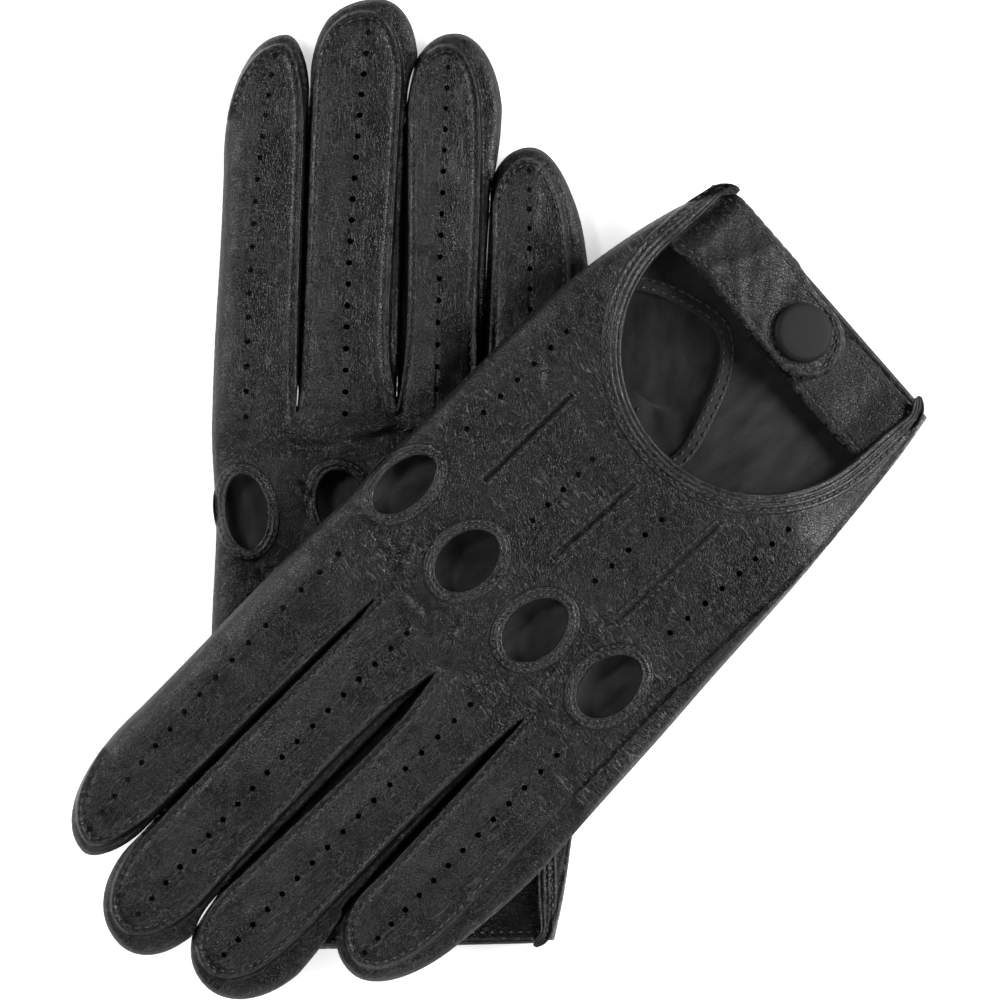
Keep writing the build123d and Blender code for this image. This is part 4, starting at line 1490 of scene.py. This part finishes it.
def build_gusset(glove, mouth):
    """Leather from the hole in the palm, narrowing down to the thumb's mouth."""
    rim = gusset_line(THUMB_RING)
    start = glove.place(rim, palm_height(rim, fields(rim), glove))
    finish = thumb_point(glove, mouth)
    verts = np.vstack(gusset_rows(glove, start, finish))
    verts[:, 2] = np.maximum(verts[:, 2], LOWEST * MM)
    faces = np.array(grid_triangles(GUSSET_ROWS, THUMB_RING))
    normals = vertex_normals(verts, faces)
    if normals[:, 2].mean() > 0:
        faces, normals = faces[:, ::-1], -normals
    flat = verts / MM + GUSSET_PATCH
    inward = -smoothed(normals, faces)
    name = f"{glove.side}_gusset_leather"
    gusset = thick_piece(name, verts, faces, normals, inward, flat, skins, GUSSET_LEATHER)
    glove.bend(gusset, "thumb", *gusset_bend(start, finish), "thumb_gusset")
    path = gusset_line(130, 1.0)
    glove.give(sweep_inside(f"{glove.side}_gusset_seam", glove, path, GUSSET_SEAM_PROFILE, True, suede))
    marks = np.vstack([stitch_marks(gusset_line(300, grow), 1.6, 0.9, True) for grow in (0.3, 2.4)])
    flat = marks.reshape(-1, 2)
    height = palm_height(flat, fields(flat), glove) + GUSSET_SEAM_HEIGHT + arched(flat)
    glove.give(thread_object(f"{glove.side}_gusset_stitches", glove.place(flat, height), 0.24))


# ---------------------------------------------------------------- cuff edge on the palm side

ZIGZAG_PITCH = 2.2
ZIGZAG_REACH = (0.9, 4.5)  # from the cuff's edge
ZIGZAG_HEIGHT = 2.05
ZIGZAG_ARCH = (0.0, 0.2, 0.25, 0.2, 0.0)


def build_cuff(glove):
    """The palm's turned cuff edge with its zigzag seam, and the elastic behind it."""
    edge = np.column_stack([np.linspace(-34.0, 35.0, 100), np.zeros(100)])
    hem = sweep_inside(f"{glove.side}_wrist_piping", glove, edge, HEM_PROFILE, False, leather, 0.06)
    glove.give(hem, "wrist_hem")
    middle = np.column_stack([np.linspace(-29.0, 29.0, 116), np.zeros(116)])
    band = sweep_inside(f"{glove.side}_elastic_band", glove, middle, ELASTIC_PROFILE, False, elastic, 0.12)
    glove.give(band, "wrist_elastic")
    across = np.arange(-31.0, 33.0, ZIGZAG_PITCH)
    corners = np.column_stack([across, np.where(np.arange(len(across)) % 2, *ZIGZAG_REACH[::-1])])
    steps = np.linspace(0, 1, STITCH_POINTS)
    legs = np.stack([corners[:-1] * (1 - t) + corners[1:] * t for t in steps], axis=1)
    flat = legs.reshape(-1, 2)
    height = palm_height(flat, fields(flat), glove) + ZIGZAG_HEIGHT + np.tile(ZIGZAG_ARCH, len(legs))
    glove.give(thread_object(f"{glove.side}_zigzag", glove.place(flat, height), 0.3))


# ---------------------------------------------------------------- strap, tab and snap

def cuff_point(glove, xyz):
    """Strap millimetres (X across the wrist, Y towards the hand, Z out of its back) to the row frame."""
    step = 0.5
    here = np.array([[0.0, glove.strap_y]])

    def level(dx, dy):
        return float(glove.middle(here + np.array([[dx, dy]]))[0])

    across = np.array([2 * step, 0, level(step, 0) - level(-step, 0)])
    along = np.array([0, 2 * step, level(0, step) - level(0, -step)])
    out = np.cross(across, along)
    across, out = across / np.linalg.norm(across), out / np.linalg.norm(out)
    along = np.cross(out, across)
    origin = np.array([0, glove.strap_y, level(0, 0)])
    x, y = xyz[:, 0], xyz[:, 1]
    aside = np.maximum(smooth((-3 - x) / 10), smooth((x - 8) / 7))
    widened = y - glove.flare * smooth((-y - 1.5) / 8) * aside
    return glove.place_free(origin + xyz[:, :1] * across + widened[:, None] * along + xyz[:, 2:] * out)


def pillow(name, glove, outline, top, bottom, material):
    """A closed slab in the strap's frame. top and bottom give heights from points and edge distance."""
    inner, faces = triangulate([(outline, True)], lambda p: inside(p, outline), LINE_STEP, (), 0.5)
    edge, _ = Line(outline, True).measure(inner)
    rim = edge < 0.02
    upper = top(inner, edge)
    lower = np.where(rim, upper, bottom(inner, edge))
    under = np.arange(len(inner)) + len(inner)
    under[rim] = np.nonzero(rim)[0]
    points = np.vstack([np.column_stack([inner, upper]), np.column_stack([inner, lower])])
    used, both = compacted(np.vstack([faces, under[faces][:, ::-1]]), len(points))
    x, y, z = points[used].T
    slant = math.radians(STRAP_GRAIN)
    c, s = math.cos(slant), math.sin(slant)
    patch = 1200.0 if glove.side == "left" else 1500.0
    flat = np.column_stack([x * c - y * s + patch, x * s + y * c, z])
    return closed_object(name, cuff_point(glove, points[used]), [tuple(f) for f in both], flat, material)


def slab(thickness_up, thickness_down, middle, rise):
    """The two faces of a lining: middle is its height in the strap's frame, and rise bends its root."""
    def top(points, edge):
        return middle + thickness_up * rounded(edge / 0.6) + rise(points[:, 0])

    def bottom(points, edge):
        return middle - thickness_down * rounded(edge / 0.6) + rise(points[:, 0])

    return top, bottom


def underside(middle, rise):
    """The almost flat underside of a strap's or a tab's outer leather."""
    return lambda points, edge: middle + rise(points[:, 0]) - 0.02 * smooth(edge)


def stitches_on(name, glove, outline, top, marks):
    """Stitches over a strap's or a tab's leather, whose outside is top."""
    flat = marks.reshape(-1, 2)
    edge, _ = Line(outline, True).measure(flat)
    height = top(flat, edge) + arched(flat) + 0.06
    return thread_object(name, cuff_point(glove, np.column_stack([flat, height])), 0.22)


def strap_outline(inset, base):
    half = STRAP_HALF_WIDTH - inset
    angle = np.linspace(-math.pi / 2, math.pi / 2, 36)
    end = np.column_stack([STRAP_ROUND_X + half * np.cos(angle), half * np.sin(angle)])
    sides = np.array([[base, half - 0.4], [base, -half + 0.4], [base + 0.4, -half]])
    loop = np.vstack([sides, end, [[base + 0.4, half]]])
    return resample(np.vstack([loop, loop[:1]]), 0.7)[:-1]


def strap_root(x):
    """The strap's root bends down to the edge of the hand."""
    return -ROOT_DROP * smooth((-31.5 - x) / 5.5)


def strap_skin(glove):
    def top(points, edge):
        x, y = points[:, 0], points[:, 1]
        from_cap = np.hypot(x - SNAP_X, y)
        calm = smooth((from_cap - 7.2) / 2.5)
        turned = np.column_stack([(x + y) * 0.7, (x - y) * 0.7])
        arch = 0.55 * np.sin(math.pi * np.clip((x + 36) / 27, 0, 1)) + 0.8 * bump(x + 0.5 * y + 22, 3.2)
        folds = waves(turned, glove.seed, STRAP_WAVES) + arch
        seam = 0.16 * bump(edge - 1.1, 0.7) - 0.26 * bump(edge - STRAP_SEAM, 0.42)
        ring = -0.2 * bump(from_cap - SNAP_RING, 0.45)
        height = STRAP_MIDDLE + 0.92 * rounded(edge / 1.5, 2.6) + strap_root(x)
        return height + calm * smooth(edge / 2) * folds + smooth(edge / 0.6) * (seam + ring)

    return top


def outline_row(outline, inset, base):
    """The part of an outline's inner parallel that lies beyond X base, as one open line."""
    turned = outline[np.argsort(-np.arctan2(outline[:, 1], outline[:, 0] - base))]
    centre = turned.mean(axis=0)
    sideways = outward(turned, False) * inset
    moved = turned + sideways
    if np.abs(moved - centre).sum() > np.abs(turned - centre).sum():
        moved = turned - sideways
    keep = (moved[:, 0] > base) & (Line(outline, True).measure(moved)[0] > 0.93 * inset)
    return resample(moved[keep], 0.6)


def build_strap(glove):
    outline = strap_outline(0.0, STRAP_BASE_X - 2.0)
    top = strap_skin(glove)
    bottom = underside(STRAP_MIDDLE, strap_root)
    outer = pillow(f"{glove.side}_strap_leather", glove, outline, top, bottom, strap_leather)
    under = strap_outline(0.45, STRAP_BASE_X - 1.2)
    lining_faces = slab(0.36, 0.42, LINING_MIDDLE, strap_root)
    lining = pillow(f"{glove.side}_strap_suede", glove, under, *lining_faces, suede)
    along_edge = stitch_marks(outline_row(outline, STRAP_SEAM, STRAP_BASE_X + 1.0), *STRAP_STITCH)
    round_cap = stitch_marks(ellipse((SNAP_X, 0.0), (SNAP_RING, SNAP_RING), 0.5), *STRAP_STITCH, True)
    marks = np.vstack([along_edge, round_cap])
    seams = stitches_on(f"{glove.side}_strap_stitches", glove, outline, top, marks)
    start, end = cuff_point(glove, np.array([[-36.6, 0.0, 7.0], [-31.0, 0.0, 7.0]]))
    glove.bend(outer, "strap", start, end, "strap_outer")
    glove.bend(lining, "strap", start, end, "strap_lining")
    glove.bend(seams, "strap", start, end)


def tab_outline(inset, base):
    half = STRAP_HALF_WIDTH - 0.5 - inset
    end = TAB_END_X + inset
    corners = (
        (base, -half), (base, half), (end + 1, half), (end, half - 1), (end, -half + 1), (end + 1, -half),
    )
    return resample(np.array(corners + corners[:1]), 0.7)[:-1]


def tab_root(x):
    """The tab's root climbs to the edge of the hand."""
    return smooth((x - 25.0) / 12.0)


def tab_skin(glove):
    def top(points, edge):
        calm = smooth((np.hypot(points[:, 0] - SNAP_X, points[:, 1]) - 4.8) / 2.0)
        folds = calm * waves(points, glove.seed, TAB_WAVES)
        seam = -0.24 * bump(edge - 2.0, 0.42)
        height = 2.5 + 0.88 * rounded(edge / 1.3, 2.6) + tab_root(points[:, 0])
        return height + smooth(edge / 2) * (folds + seam)

    return top


def build_tab(glove):
    outline = tab_outline(0.0, TAB_BASE_X)
    top = tab_skin(glove)
    bottom = underside(TAB_MIDDLE, tab_root)
    glove.give(pillow(f"{glove.side}_tab_leather", glove, outline, top, bottom, tab_leather), "tab_outer")
    under = tab_outline(0.4, TAB_BASE_X - 0.4)
    lining_faces = slab(0.38, 0.40, TAB_LINING_MIDDLE, tab_root)
    glove.give(pillow(f"{glove.side}_tab_suede", glove, under, *lining_faces, suede), "tab_lining")
    half, near, far = STRAP_HALF_WIDTH - 2.5, TAB_BASE_X - 1.0, TAB_END_X + 2.0
    row = resample(np.array([[near, half], [far, half], [far, -half], [near, -half]]), 0.5)
    marks = stitch_marks(row, *STRAP_STITCH)
    glove.give(stitches_on(f"{glove.side}_tab_stitches", glove, outline, top, marks))


# The snap cap's section from the middle of its crown down to its rivet: radius, height
CAP_CROWN = tuple((r, 10.34 - 0.0017 * r * r) for r in (1.2, 2.4, 3.6))
CAP_PROFILE = CAP_CROWN + (
    (5.2, 10.28), (6.2, 10.24), (6.6, 10.17), (6.95, 10.02), (7.22, 9.8), (7.42, 9.45), (7.5, 9.05),
    (7.44, 8.7), (7.2, 8.52), (1.2, 8.46), (1.2, 6.2),
)
CAP_SIDES = 96


def build_snap(glove):
    angle = np.linspace(0, 2 * math.pi, CAP_SIDES, endpoint=False)
    circle = np.column_stack([np.cos(angle), np.sin(angle), np.zeros(CAP_SIDES)])
    grid = np.vstack([circle * radius + (SNAP_X, 0, height) for radius, height in CAP_PROFILE])
    faces = tube_faces(len(CAP_PROFILE), CAP_SIDES)
    cap = closed_object(f"{glove.side}_cap", cuff_point(glove, grid), faces, None, lacquer)
    glove.give(cap, "snap_cap", body=f"{glove.side}_strap")
    for part in ("snap_socket", "snap_stud", "snap_post"):
        mesh = frame["nodes"][f"{glove.side}_{part}"].data
        mesh.materials.clear()
        mesh.materials.append(plated)


for glove in GLOVES:
    build_shell(glove)
    build_edges(glove)
    build_stitches(glove)
    build_thumb(glove)
    build_cuff(glove)
    build_strap(glove)
    build_tab(glove)
    build_snap(glove)


# ---------------------------------------------------------------- floor, light and camera

FLOOR_SIZE = 6.0
FLOOR_DROP = 0.0002
LIT_POINT = (0, 0, 0.02)
LIGHTS = (  # name, place, size, power
    ("key", (1.60, 0.35, 0.95), 1.2, 60),
    ("left_fill", (-1.45, 0.55, 0.75), 1.0, 24),
    ("low_fill", (0.1, -1.4, 0.8), 0.8, 10),
    ("high_spot", (-0.62, 0.30, 1.5), 0.30, 5),
)
WORLD_STRENGTH = 0.06
VIEW_CENTRE = (0.0013, -0.0009)
VIEW_DISTANCE = 2.4
VIEW_WIDTH = 0.2457
VIEW_HEIGHT = 0.017  # of the plane that VIEW_WIDTH is measured in
SENSOR_WIDTH = 36

corners = np.array([(-1, -1, 0), (1, -1, 0), (1, 1, 0), (-1, 1, 0)]) * FLOOR_SIZE / 2 - (0, 0, FLOOR_DROP)
floor = make_object("floor", corners, [(0, 1, 2, 3)], materials=(paper_material("floor_paper"),))
floor.data.shade_flat()

world = bpy.data.worlds.new("studio")
world.use_nodes = True
background = world.node_tree.nodes["Background"]
background.inputs["Color"].default_value = (1, 1, 1, 1)
background.inputs["Strength"].default_value = WORLD_STRENGTH
bpy.context.scene.world = world
bpy.context.scene.view_settings.view_transform = "Standard"

for name, place, size, power in LIGHTS:
    light = bpy.data.lights.new(name, "AREA")
    light.shape = "DISK"
    light.size = size
    light.energy = power
    lamp = bpy.data.objects.new(name, light)
    lamp.location = place
    lamp.rotation_euler = (Vector(LIT_POINT) - Vector(place)).to_track_quat("-Z", "Y").to_euler()
    bpy.context.scene.collection.objects.link(lamp)

camera_data = bpy.data.cameras.new("camera")
camera_data.sensor_width = SENSOR_WIDTH
camera_data.lens = SENSOR_WIDTH * VIEW_DISTANCE / VIEW_WIDTH
camera_data.clip_end = 20
camera = bpy.data.objects.new("camera", camera_data)
camera.location = (*VIEW_CENTRE, VIEW_DISTANCE + VIEW_HEIGHT)
bpy.context.scene.collection.objects.link(camera)
bpy.context.scene.camera = camera
